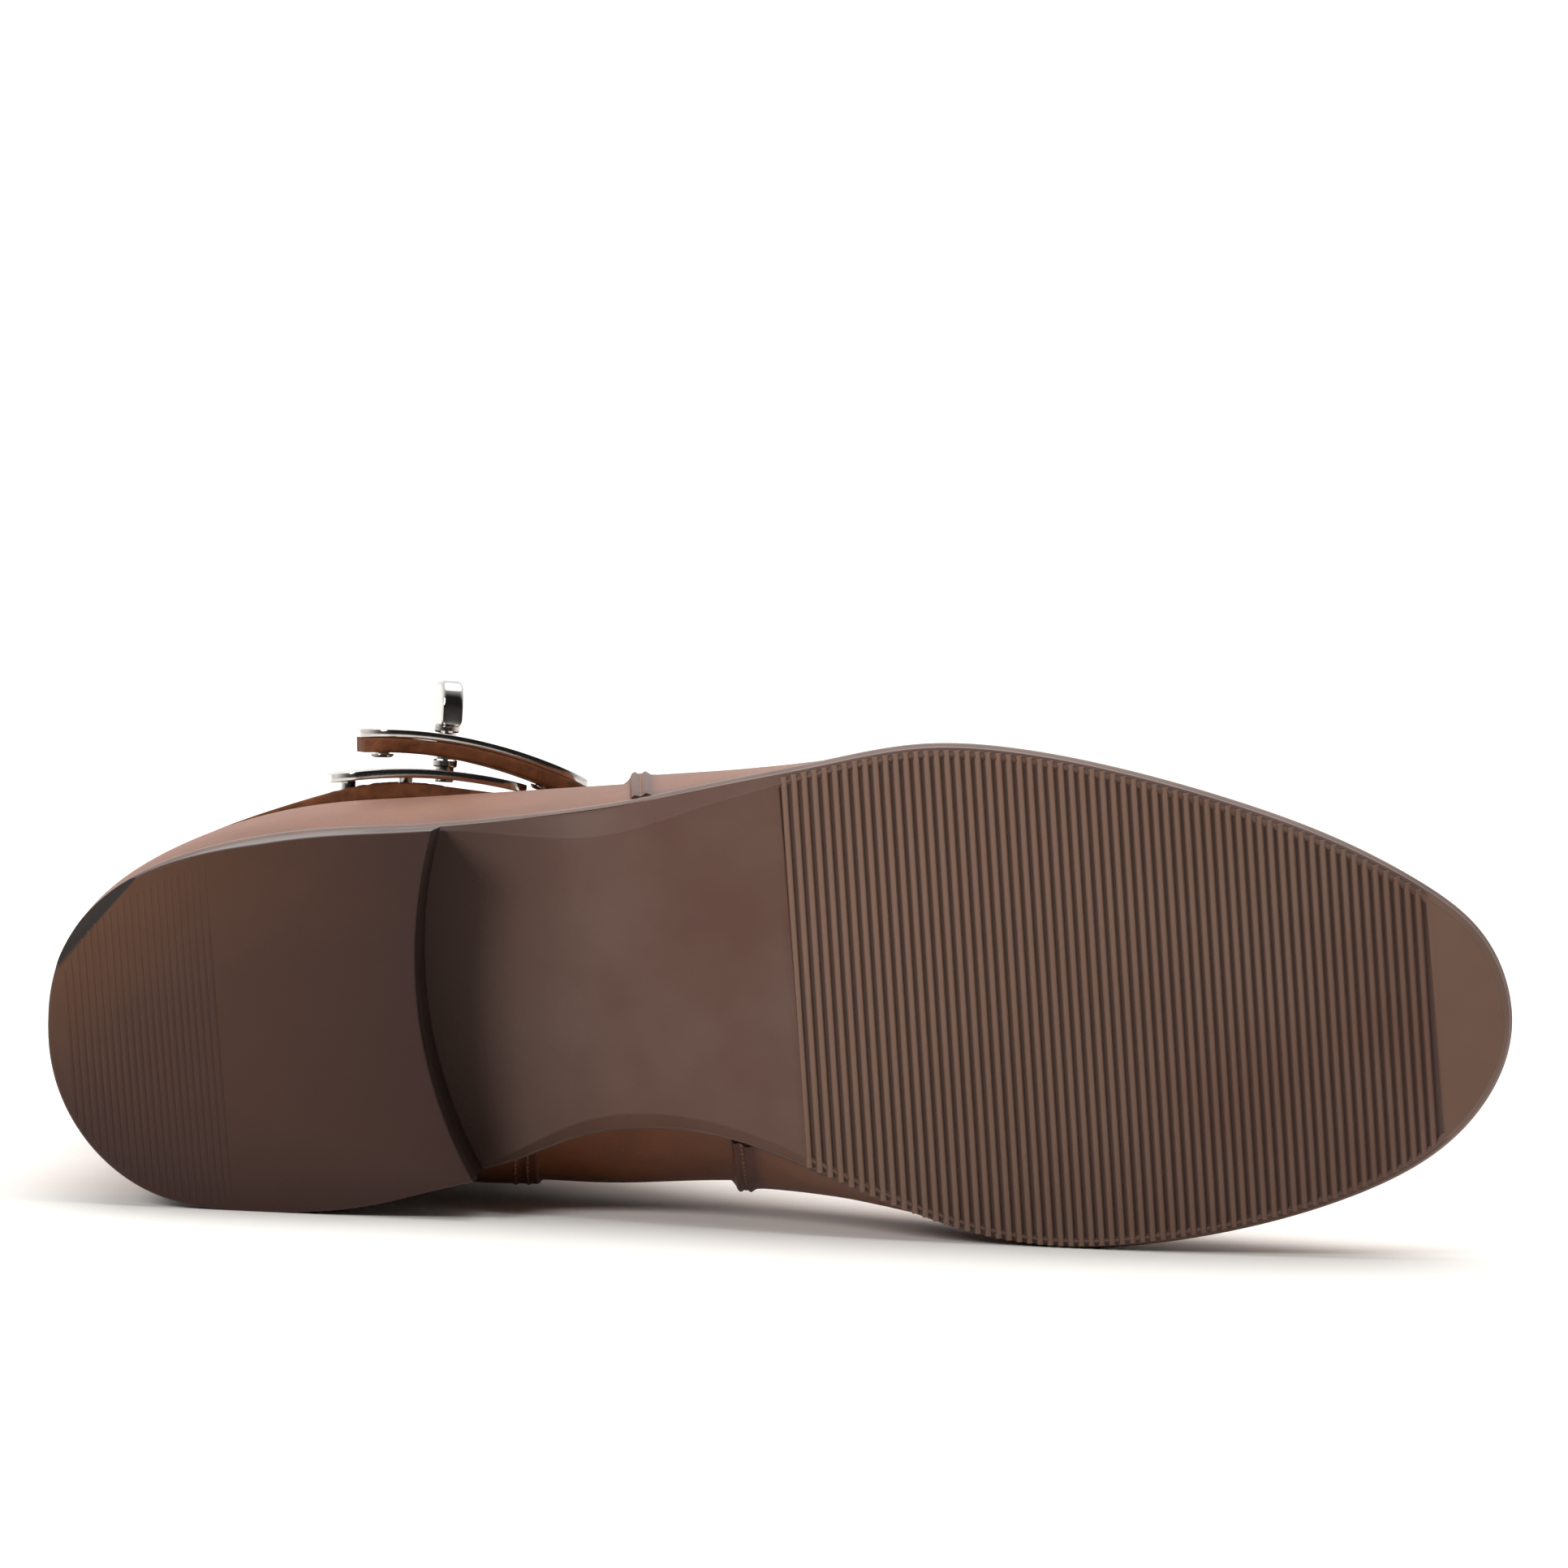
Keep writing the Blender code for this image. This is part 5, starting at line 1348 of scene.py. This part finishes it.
CLASP = post_frame()
print("post, mm on the standing boot:", [round(v / MM, 1) for v in CLASP.translation])


# %% Strap sections
def wound_sections():
    """Inner and outer face of the strap round the shaft, three rows at each station."""
    rows = np.array([-1, 0, 1]) * STRAP_WIDTH / 2
    starts = [turn_at(STRAP_START_X, row) for row in rows]
    leaves = math.acos(1 - 2 * STRAP_LEAVES_SHARE)
    sections = []
    for turn in np.linspace(-1, 2 * math.pi - leaves, STRAP_STEPS):
        side = LATERAL if turn < 0 or turn > math.pi else MEDIAL
        share = (1 - math.cos(turn * starts[1] if turn < 0 else turn)) / 2
        _, facing = shaft_point(share, side, strap_z(share))
        lean = math.sqrt(1 - facing[2] ** 2)
        near, far = [], []
        for row, start in zip(rows, starts):
            row_share = (1 - math.cos(turn * start)) / 2 if turn < 0 else share
            point, normal = shaft_point(row_share, side, strap_z(row_share) + row * lean)
            clear = strap_clear(row_share, point[0], row) if side == LATERAL else strap_clear(share, 0)
            pad = CLASP_PAD * bell(point[0], CLASP_SLACK_X, CLASP_SLACK_LENGTH) if side == LATERAL else 0.0
            near.append(point + normal * (clear - pad))
            far.append(point + normal * (clear + STRAP_THICKNESS))
        sections.append((np.array(near), np.array(far)))
    return sections


def free_sections(wound):
    """The strap's outer end: a smooth bend off the shaft, then along the underside of the plate."""
    centre = [(near[1] + far[1]) / 2 for near, far in wound[-2:]]
    leave = Vector(centre[1])
    leaving = (leave - Vector(centre[0])).normalized()
    below = PLATE_THICKNESS + FIT_GAP + STRAP_THICKNESS / 2
    ends = np.linspace(PLATE_FRONT - 2 * MM, PLATE_BACK + 0.6 * MM, END_STEPS)
    middle = [CLASP @ Vector((a, 0, plate_height(a) - below)) for a in ends]
    arriving = (middle[1] - middle[0]).normalized()
    pull = (middle[0] - leave).length / 3
    bend = [leave, leave + leaving * pull, middle[0] - arriving * pull, middle[0]]
    path = []
    for u in np.linspace(0, 1, BRIDGE_STEPS + 2)[1:-1]:
        weights = ((1 - u) ** 3, 3 * u * (1 - u) ** 2, 3 * u**2 * (1 - u), u**3)
        path.append(sum((point * weight for point, weight in zip(bend, weights)), Vector()))
    path += middle
    up = CLASP.col[1].to_3d()
    start_rows = (wound[-1][0] + wound[-1][1]) / 2 - np.array(leave)
    flat_rows = np.array([up * row for row in (-STRAP_WIDTH / 2, 0, STRAP_WIDTH / 2)])
    sections = []
    for i, point in enumerate(path):
        before = leave if i == 0 else path[i - 1]
        heading = (path[min(i + 1, len(path) - 1)] - before).normalized()
        half = np.array(up.cross(heading).normalized()) * STRAP_THICKNESS / 2
        blend = min(1.0, (i + 1) / (BRIDGE_STEPS + 1))
        across = start_rows * (1 - blend) + flat_rows * blend
        to_end = (len(path) - 1 - i) * (PLATE_FRONT - PLATE_BACK) / END_STEPS
        left = min(to_end / (STRAP_END_ROUND / 2), 1)
        across = across * (1 - STRAP_END_ROUND / STRAP_WIDTH * (1 - left) ** 2)
        # The leather swells up to the plate and closes the gap that the solids keep.
        full = half * (1 + 2 * PLATE_GAP_FILL / STRAP_THICKNESS * blend)
        sections.append((np.array(point) + across - half, np.array(point) + across + full))
    return sections


def in_section(section, row, depth):
    """Point of a section: row from -1 to 1 across the strap, depth from its inner to its outer face."""
    weights = np.array([row * (row - 1) / 2, 1 - row**2, row * (row + 1) / 2])
    near, far = section
    return weights @ near * (1 - depth) + weights @ far * depth


STRAP_FACE, STRAP_EDGE, STRAP_BACK = 0, 1, 2  # places of the strap's finishes


def strap_profile():
    """Rounded section of the strap: rows, depths, and the finish of the side that follows each point."""
    soft_row, soft_depth = STRAP_SOFT_EDGE / (STRAP_WIDTH / 2), STRAP_SOFT_EDGE / STRAP_THICKNESS
    edge = 1 - soft_row

    def corner(row, depth, first):
        return [(*at, STRAP_EDGE) for at in quarter(row, depth, first, soft_row, soft_depth, 4)]

    outline = [(row, 0.0, STRAP_BACK) for row in np.linspace(-edge, edge, 7)[:-1]]
    outline += corner(edge, soft_depth, -90) + corner(edge, 1 - soft_depth, 0)[:-1]
    outline += [(row, 1.0, STRAP_FACE) for row in np.linspace(edge, -edge, 11)[:-1]]
    outline += corner(-edge, 1 - soft_depth, 90) + corner(-edge, soft_depth, 180)[:-1]
    return outline


def strap_band():
    outline = strap_profile()
    rings = [np.array([in_section(s, row, depth) for row, depth, _ in outline]) for s in SECTIONS]
    points, faces = joined_rings(rings)
    count = len(outline)
    index = [kind for _ in SECTIONS[:-1] for _, _, kind in outline] + [STRAP_EDGE] * 2
    faces += end_caps(points, count)
    return mesh_from("strap_band", points, faces, [STRAP_CALF, STRAP_CUT_EDGE, LINING], index)


WOUND = wound_sections()
SECTIONS = WOUND + free_sections(WOUND)
STRAP_MESH = strap_band()
print("strap stations:", len(SECTIONS), "faces:", len(STRAP_MESH.polygons))

# %% [markdown]
# ## Clasp
# The clasp is a turn-lock: a bent base riveted to the strap's inner end carries a post with a turning tab,
# and a plate on the strap's outer end drops over the tab through a slot. Base and plate are thin bent sheet
# with a hole. Each is lofted as rings that run from the hole to the rim, over the rounded edge and back
# underneath, so the hole and the rim are equally smooth. The toggle turns on its post, so it rides on its
# own body.

# %% Bent sheet with a hole, and turned pins
SLOT_LENGTH, SLOT_WIDTH = 17 * MM, 6.0 * MM
PLATE_WIDTH, PLATE_CORNER = 18 * MM, 6 * MM
PLATE_RIVETS = (-11.6 * MM, 19.2 * MM)
BASE_WIDTH, BASE_CORNER, BASE_THICKNESS = 17 * MM, 5 * MM, 1.6 * MM
BASE_BACK, BASE_FRONT, BASE_RADIUS, BASE_TOP = -20.8 * MM, 14.6 * MM, 85 * MM, 3.1 * MM
BASE_LEGS = (-17.2 * MM, -6.9 * MM)
POST_RADIUS, POST_FOOT = 1.7 * MM, 1.0 * MM
COLLAR_RADIUS, COLLAR_HEIGHT = 2.3 * MM, 1.0 * MM
FLANGE_RADIUS, FLANGE_HEIGHT = 2.2 * MM, 1.4 * MM
RIVET_RADIUS, RIVET_HEAD, RIVET_HEAD_HEIGHT = 1.3 * MM, 2.2 * MM, 0.7 * MM
SHEET_EDGE = 0.22 * MM  # rounding of the sheet's edges
STRAP_SLOT_EXTRA = 0.4 * MM  # the strap's slot is this much wider all round than the plate's


def base_height(along):
    """Top of the clasp's base, an arc about a point a little behind the post."""
    centre = (BASE_BACK + BASE_FRONT) / 2
    return BASE_TOP + (centre**2 - (along - centre) ** 2) / (2 * BASE_RADIUS)


def rounded_rectangle(back, front, width, corner):
    """Outline with round corners, closely stepped so that it can be bent."""
    half = width / 2 - corner
    points = quarter(front - corner, half, 0, corner, corner, 13)
    points += [(a, width / 2) for a in np.linspace(front - corner, back + corner, 16)[1:-1]]
    points += quarter(back + corner, half, 90, corner, corner, 13)
    end = [(back, y) for y in np.linspace(half, -half, 8)[1:-1]]
    start = [(front, y) for y in np.linspace(-half, half, 8)[1:-1]]
    return np.array(points + end + [(a, -b) for a, b in points[::-1]] + start)


def holed_sheet(name, outer, half_slot, radius, height, thickness, material):
    """Bent sheet between an outline and a slot with round ends; its four edges are rounded."""
    middle = np.column_stack([np.clip(outer[:, 0], -half_slot, half_slot), 0 * outer[:, 0]])
    away = outer - middle
    reach = np.linalg.norm(away, axis=1, keepdims=True)
    away /= reach
    soft = SHEET_EDGE
    arc = np.linspace(0, math.pi / 2, 4)
    rows = [(share, soft, -soft, 0.0) for share in np.linspace(0, 1, 8)]
    rows += [(1.0, soft, -soft * (1 - math.sin(t)), soft * (1 - math.cos(t))) for t in arc[1:]]
    rows += [(1.0, soft, -soft * (1 - math.sin(t)), thickness - soft * (1 - math.cos(t))) for t in arc[::-1]]
    rows += [(share, soft, -soft, thickness) for share in np.linspace(1, 0, 8)[1:]]
    rows += [(0.0, soft * (1 - math.sin(t)), -soft, thickness - soft * (1 - math.cos(t))) for t in arc[1:]]
    rows += [(0.0, soft * (1 - math.sin(t)), -soft, soft * (1 - math.cos(t))) for t in arc[:0:-1]]
    rings = []
    for share, from_slot, from_rim, drop in rows:
        flat = middle + away * ((radius + from_slot) * (1 - share) + (reach + from_rim) * share)
        rings.append(np.column_stack([flat, height(flat[:, 0]) - drop]))
    return mesh_from(name, *joined_rings(rings, closed=True), [material])


def turned(name, profile, material, sides=32):
    """Closed round body from radius and height pairs, bottom to top, about the clasp's own axis."""
    angles = np.linspace(0, 2 * math.pi, sides, endpoint=False)
    rings = [np.column_stack([r * np.cos(angles), r * np.sin(angles), 0 * angles + h]) for r, h in profile]
    points, faces = joined_rings(rings)
    faces += end_caps(points, sides)
    return mesh_from(name, points, faces, [material])


def pin_profile(radius, low, high, soft):
    return [(radius - soft, low), (radius, low + soft), (radius, high - soft), (radius - soft, high)]


def worked(first, others, operation):
    """Joins meshes to the first, or cuts them out of it."""
    base = bpy.data.objects.new("worked", first)
    bpy.context.scene.collection.objects.link(base)
    tools = []
    for mesh in others:
        tool = bpy.data.objects.new("tool", mesh)
        bpy.context.scene.collection.objects.link(tool)
        step = base.modifiers.new("step", "BOOLEAN")
        step.operation, step.object, step.solver = operation, tool, "EXACT"
        tools.append(tool)
    bpy.context.view_layer.update()
    made = bpy.data.meshes.new_from_object(base.evaluated_get(bpy.context.evaluated_depsgraph_get()))
    for each in [base] + tools:
        bpy.data.objects.remove(each)
    return made


# %% Base, plate and strap
def clasp_base():
    outline = rounded_rectangle(BASE_BACK, BASE_FRONT, BASE_WIDTH, BASE_CORNER)
    hole = POST_RADIUS + FIT_GAP
    sheet = holed_sheet("clasp_base_bar", outline, 0, hole, base_height, BASE_THICKNESS, STEEL["base"])
    legs = []
    for along in BASE_LEGS:
        top = base_height(along) - 0.4 * MM
        low = strap_top(along, CLASP) - 0.8 * STRAP_THICKNESS
        leg = turned("leg", pin_profile(RIVET_RADIUS, low, top, 0.1 * MM), STEEL["base"])
        leg.transform(Matrix.Translation((along, 0, 0)))
        legs.append(leg)
    mesh = worked(sheet, legs, "UNION")
    mesh.transform(CLASP)
    return piece("clasp_base_bar", mesh, "clasp_base")


def clasp_plate():
    outline = rounded_rectangle(PLATE_BACK, PLATE_FRONT, PLATE_WIDTH, PLATE_CORNER)
    half = (SLOT_LENGTH - SLOT_WIDTH) / 2
    steel = STEEL["plate"]
    sizes = (half, SLOT_WIDTH / 2, plate_height, PLATE_THICKNESS)
    sheet = holed_sheet("clasp_slot_plate", outline, *sizes, steel)
    under = -PLATE_THICKNESS - STRAP_THICKNESS - 2 * FIT_GAP
    rivets = []
    for along in PLATE_RIVETS:
        slope = math.atan(along / PLATE_RADIUS - math.tan(PLATE_TILT))
        place = Matrix.Translation((along, 0, plate_height(along))) @ Matrix.Rotation(slope, 4, "Y")
        dome = ((0.7, 1.0), (0.92, 0.6), (1.0, 0.2), (1.0, 0.0))  # shares of the head's radius and height
        profile = [(RIVET_HEAD * wide, under - RIVET_HEAD_HEIGHT * deep) for wide, deep in dome]
        rivet = turned("rivet", profile + [(RIVET_RADIUS, under), (RIVET_RADIUS, -0.4 * MM)], steel)
        rivet.transform(place)
        rivets.append(rivet)
    mesh = worked(sheet, rivets, "UNION")
    mesh.transform(CLASP)
    return piece("clasp_slot_plate", mesh, "clasp_plate")


def strap():
    """The strap with the slot that the toggle passes cut through its outer end."""
    slot = []
    for turn in np.linspace(0, 2 * math.pi, 48, endpoint=False):
        radius, half = SLOT_WIDTH / 2 + STRAP_SLOT_EXTRA, (SLOT_LENGTH - SLOT_WIDTH) / 2
        x = radius * math.cos(turn)
        slot.append((x + math.copysign(half, x), radius * math.sin(turn)))
    rings = [np.array([(x, y, z) for x, y in slot]) for z in (BASE_TOP, PLATE_TOP + 4 * MM)]
    points, faces = joined_rings(rings)
    faces += end_caps(points, len(slot))
    cutter = mesh_from("slot", points, faces, [STRAP_CUT_EDGE])
    cutter.transform(CLASP)
    mesh = worked(STRAP_MESH, [cutter], "DIFFERENCE")
    return piece("strap_band", mesh, "ankle_strap")


clasp_base()
clasp_plate()
strap()

# %% Toggle
TOGGLE_HEIGHT, TOGGLE_LENGTH, TOGGLE_THICKNESS = 8.4 * MM, 15 * MM, 3.8 * MM
TOGGLE_EDGE, TOGGLE_STEPS = 0.8 * MM, 44
END_THICK, END_HIGH, END_LIFT = 0.9, 0.45, 0.08  # the tab's two ends, as shares of its middle


def toggle_section(u, grow=0.0):
    """Section of the tab at a share of its length, with round corners; grow below 0 draws it in."""
    bulge = math.sqrt(max(1 - (2 * u - 1) ** 4, 0.02))
    low_plane = float(plate_height(0)) + FIT_GAP + COLLAR_HEIGHT
    half = TOGGLE_THICKNESS / 2 * (END_THICK + (1 - END_THICK) * bulge) + grow
    top = low_plane + TOGGLE_HEIGHT * (END_HIGH + (1 - END_HIGH) * bulge) + grow
    low = low_plane + TOGGLE_HEIGHT * END_LIFT * (1 - bulge) - grow
    soft = min(TOGGLE_EDGE, half * 0.8)
    points = []
    corners = ((half - soft, low + soft, -90), (half - soft, top - soft, 0))
    corners += ((soft - half, top - soft, 90), (soft - half, low + soft, 180))
    for across, height, first in corners:
        points += quarter(across, height, first, soft, soft, 5)
    return np.array([(across, (u - 0.5) * TOGGLE_LENGTH, height) for across, height in points])


def clasp_toggle():
    stations = side_share(TOGGLE_STEPS)
    rings = [toggle_section(u) for u in stations]
    for end in (0, -1):
        cap = toggle_section(stations[end], -0.5 * MM)
        cap[:, 1] = rings[end][:, 1]
        rings[end] = cap
    points, faces = joined_rings(rings)
    faces += end_caps(points, len(rings[0]))
    steel = STEEL["toggle"]
    tab = mesh_from("clasp_turn_tab", points, faces, [steel])
    collar_low = float(plate_height(0)) + FIT_GAP
    tab_low = collar_low + COLLAR_HEIGHT
    post = turned("post", pin_profile(POST_RADIUS, POST_FOOT, tab_low + TOGGLE_EDGE, 0.2 * MM), steel)
    collar = turned("collar", pin_profile(COLLAR_RADIUS, collar_low, tab_low + 0.5 * MM, 0.3 * MM), steel)
    high = float(plate_height(0)) - PLATE_THICKNESS - STRAP_THICKNESS - 2 * FIT_GAP
    flange = turned("flange", pin_profile(FLANGE_RADIUS, high - FLANGE_HEIGHT, high, 0.25 * MM), steel)
    mesh = worked(tab, [post, collar, flange], "UNION")
    mesh.transform(CLASP)
    return piece("clasp_turn_tab", mesh, "clasp_toggle", body="toggle")


clasp_toggle()

# %% [markdown]
# ## Stitches
# Rows of lockstitch hold the vamp, the counter, the collar's fold and the strap's edges. A row is a line on
# the leather that also knows which way is off the leather. One Geometry Nodes tree steps along the line and
# lays a small bead of thread at each step, turned along the row and flat on the skin.

# %% Stitch tree and the rows
STITCH_PITCH, STITCH_LENGTH, STITCH_WIDTH, STITCH_RISE = 2.6 * MM, 2.1 * MM, 0.6 * MM, 0.5 * MM
# Seams lie this many mm ahead of an overlay's edge, and run between these levels.
VAMP_SEAMS, VAMP_SEAM_LEVELS = (2.0,), (0.02, 0.965)
COUNTER_SEAMS, COUNTER_SEAM_LEVELS = (-1.8, -4.0), (0.02, 0.60)
COLLAR_SEAM_LEVEL, COLLAR_SEAM_STEPS = 0.974, 300
STRAP_SEAM_INSET = 2.2 * MM


def stitch_tree():
    tree, given = size_tree("lockstitch", ("Pitch", "Length", "Width", "Rise"))
    path = add(tree, "GeometryNodeMeshToCurve", {"Mesh": given["Geometry"]})
    stepped = {"Curve": path.outputs[0], "Length": given["Pitch"]}
    steps = add(tree, "GeometryNodeResampleCurve", stepped, mode="LENGTH")
    bead = add(tree, "GeometryNodeMeshUVSphere", {"Segments": 8, "Rings": 5, "Radius": 0.5})
    heading = add(tree, "GeometryNodeInputTangent")
    off = add(tree, "GeometryNodeInputNamedAttribute", {"Name": "off"}, data_type="FLOAT_VECTOR")
    along = add(tree, "FunctionNodeAlignRotationToVector", {"Vector": heading.outputs[0]}, axis="X")
    flat = {"Rotation": along.outputs[0], "Vector": off.outputs[0]}
    turned_flat = add(tree, "FunctionNodeAlignRotationToVector", flat, axis="Z", pivot_axis="X")
    size = add(tree, "ShaderNodeCombineXYZ", {"X": given["Length"], "Y": given["Width"], "Z": given["Rise"]})
    laid = {"Points": steps.outputs[0], "Instance": bead.outputs["Mesh"]}
    laid |= {"Rotation": turned_flat.outputs[0], "Scale": size.outputs[0]}
    end_tree(tree, add(tree, "GeometryNodeInstanceOnPoints", laid).outputs[0], given["Material"])
    return tree


STITCH_TREE = stitch_tree()


def sewn(name, rows):
    """Stitches along rows; a row is its points and the directions off the leather."""
    mesh = paths_mesh(name, [points for points, _ in rows])
    off = np.vstack([normals for _, normals in rows]).astype(np.float32)
    mesh.attributes.new("off", "FLOAT_VECTOR", "POINT").data.foreach_set("vector", off.ravel())
    sizes = {"Pitch": STITCH_PITCH, "Length": STITCH_LENGTH, "Width": STITCH_WIDTH, "Rise": STITCH_RISE}
    sizes["Material"] = THREAD
    return piece(name, grown(mesh, STITCH_TREE, sizes), sharp=180)


def row_on_upper(levels, shares, side):
    return upper_outer(levels, shares, side), upper_normal(levels, shares, side)


def edge_rows(edge, side, distances, first, last):
    """Rows at distances ahead of an overlay's edge, from one level to another."""
    levels = np.linspace(first, last, 160)
    span = ring_value(levels, 2) - ring_value(levels, 0)
    return [row_on_upper(levels, edge + away * MM / span, side) for away in distances]


def upper_stitches():
    rows = []
    for side in (LATERAL, MEDIAL):
        rows += edge_rows(VAMP_EDGE[side], side, VAMP_SEAMS, *VAMP_SEAM_LEVELS)
    rows += edge_rows(COUNTER_EDGE, MEDIAL, COUNTER_SEAMS, *COUNTER_SEAM_LEVELS)
    around = np.linspace(-math.pi, math.pi, COLLAR_SEAM_STEPS)
    shares, sides = (1 - np.cos(around)) / 2, np.where(around < 0, LATERAL, MEDIAL)
    rows.append(row_on_upper(np.full(COLLAR_SEAM_STEPS, COLLAR_SEAM_LEVEL), shares, sides))
    return sewn("upper_stitches", rows)


def strap_stitches():
    inset = 1 - STRAP_SEAM_INSET / (STRAP_WIDTH / 2)
    sewn_part = SECTIONS[4 : -END_STEPS - 2]
    rows = []
    for row in (-inset, inset):
        points = np.array([in_section(section, row, 1.0) for section in sewn_part])
        inner = np.array([in_section(section, row, 0.0) for section in sewn_part])
        rows.append((points, (points - inner) / STRAP_THICKNESS))
    return sewn("strap_stitches", rows)


upper_stitches()
strap_stitches()
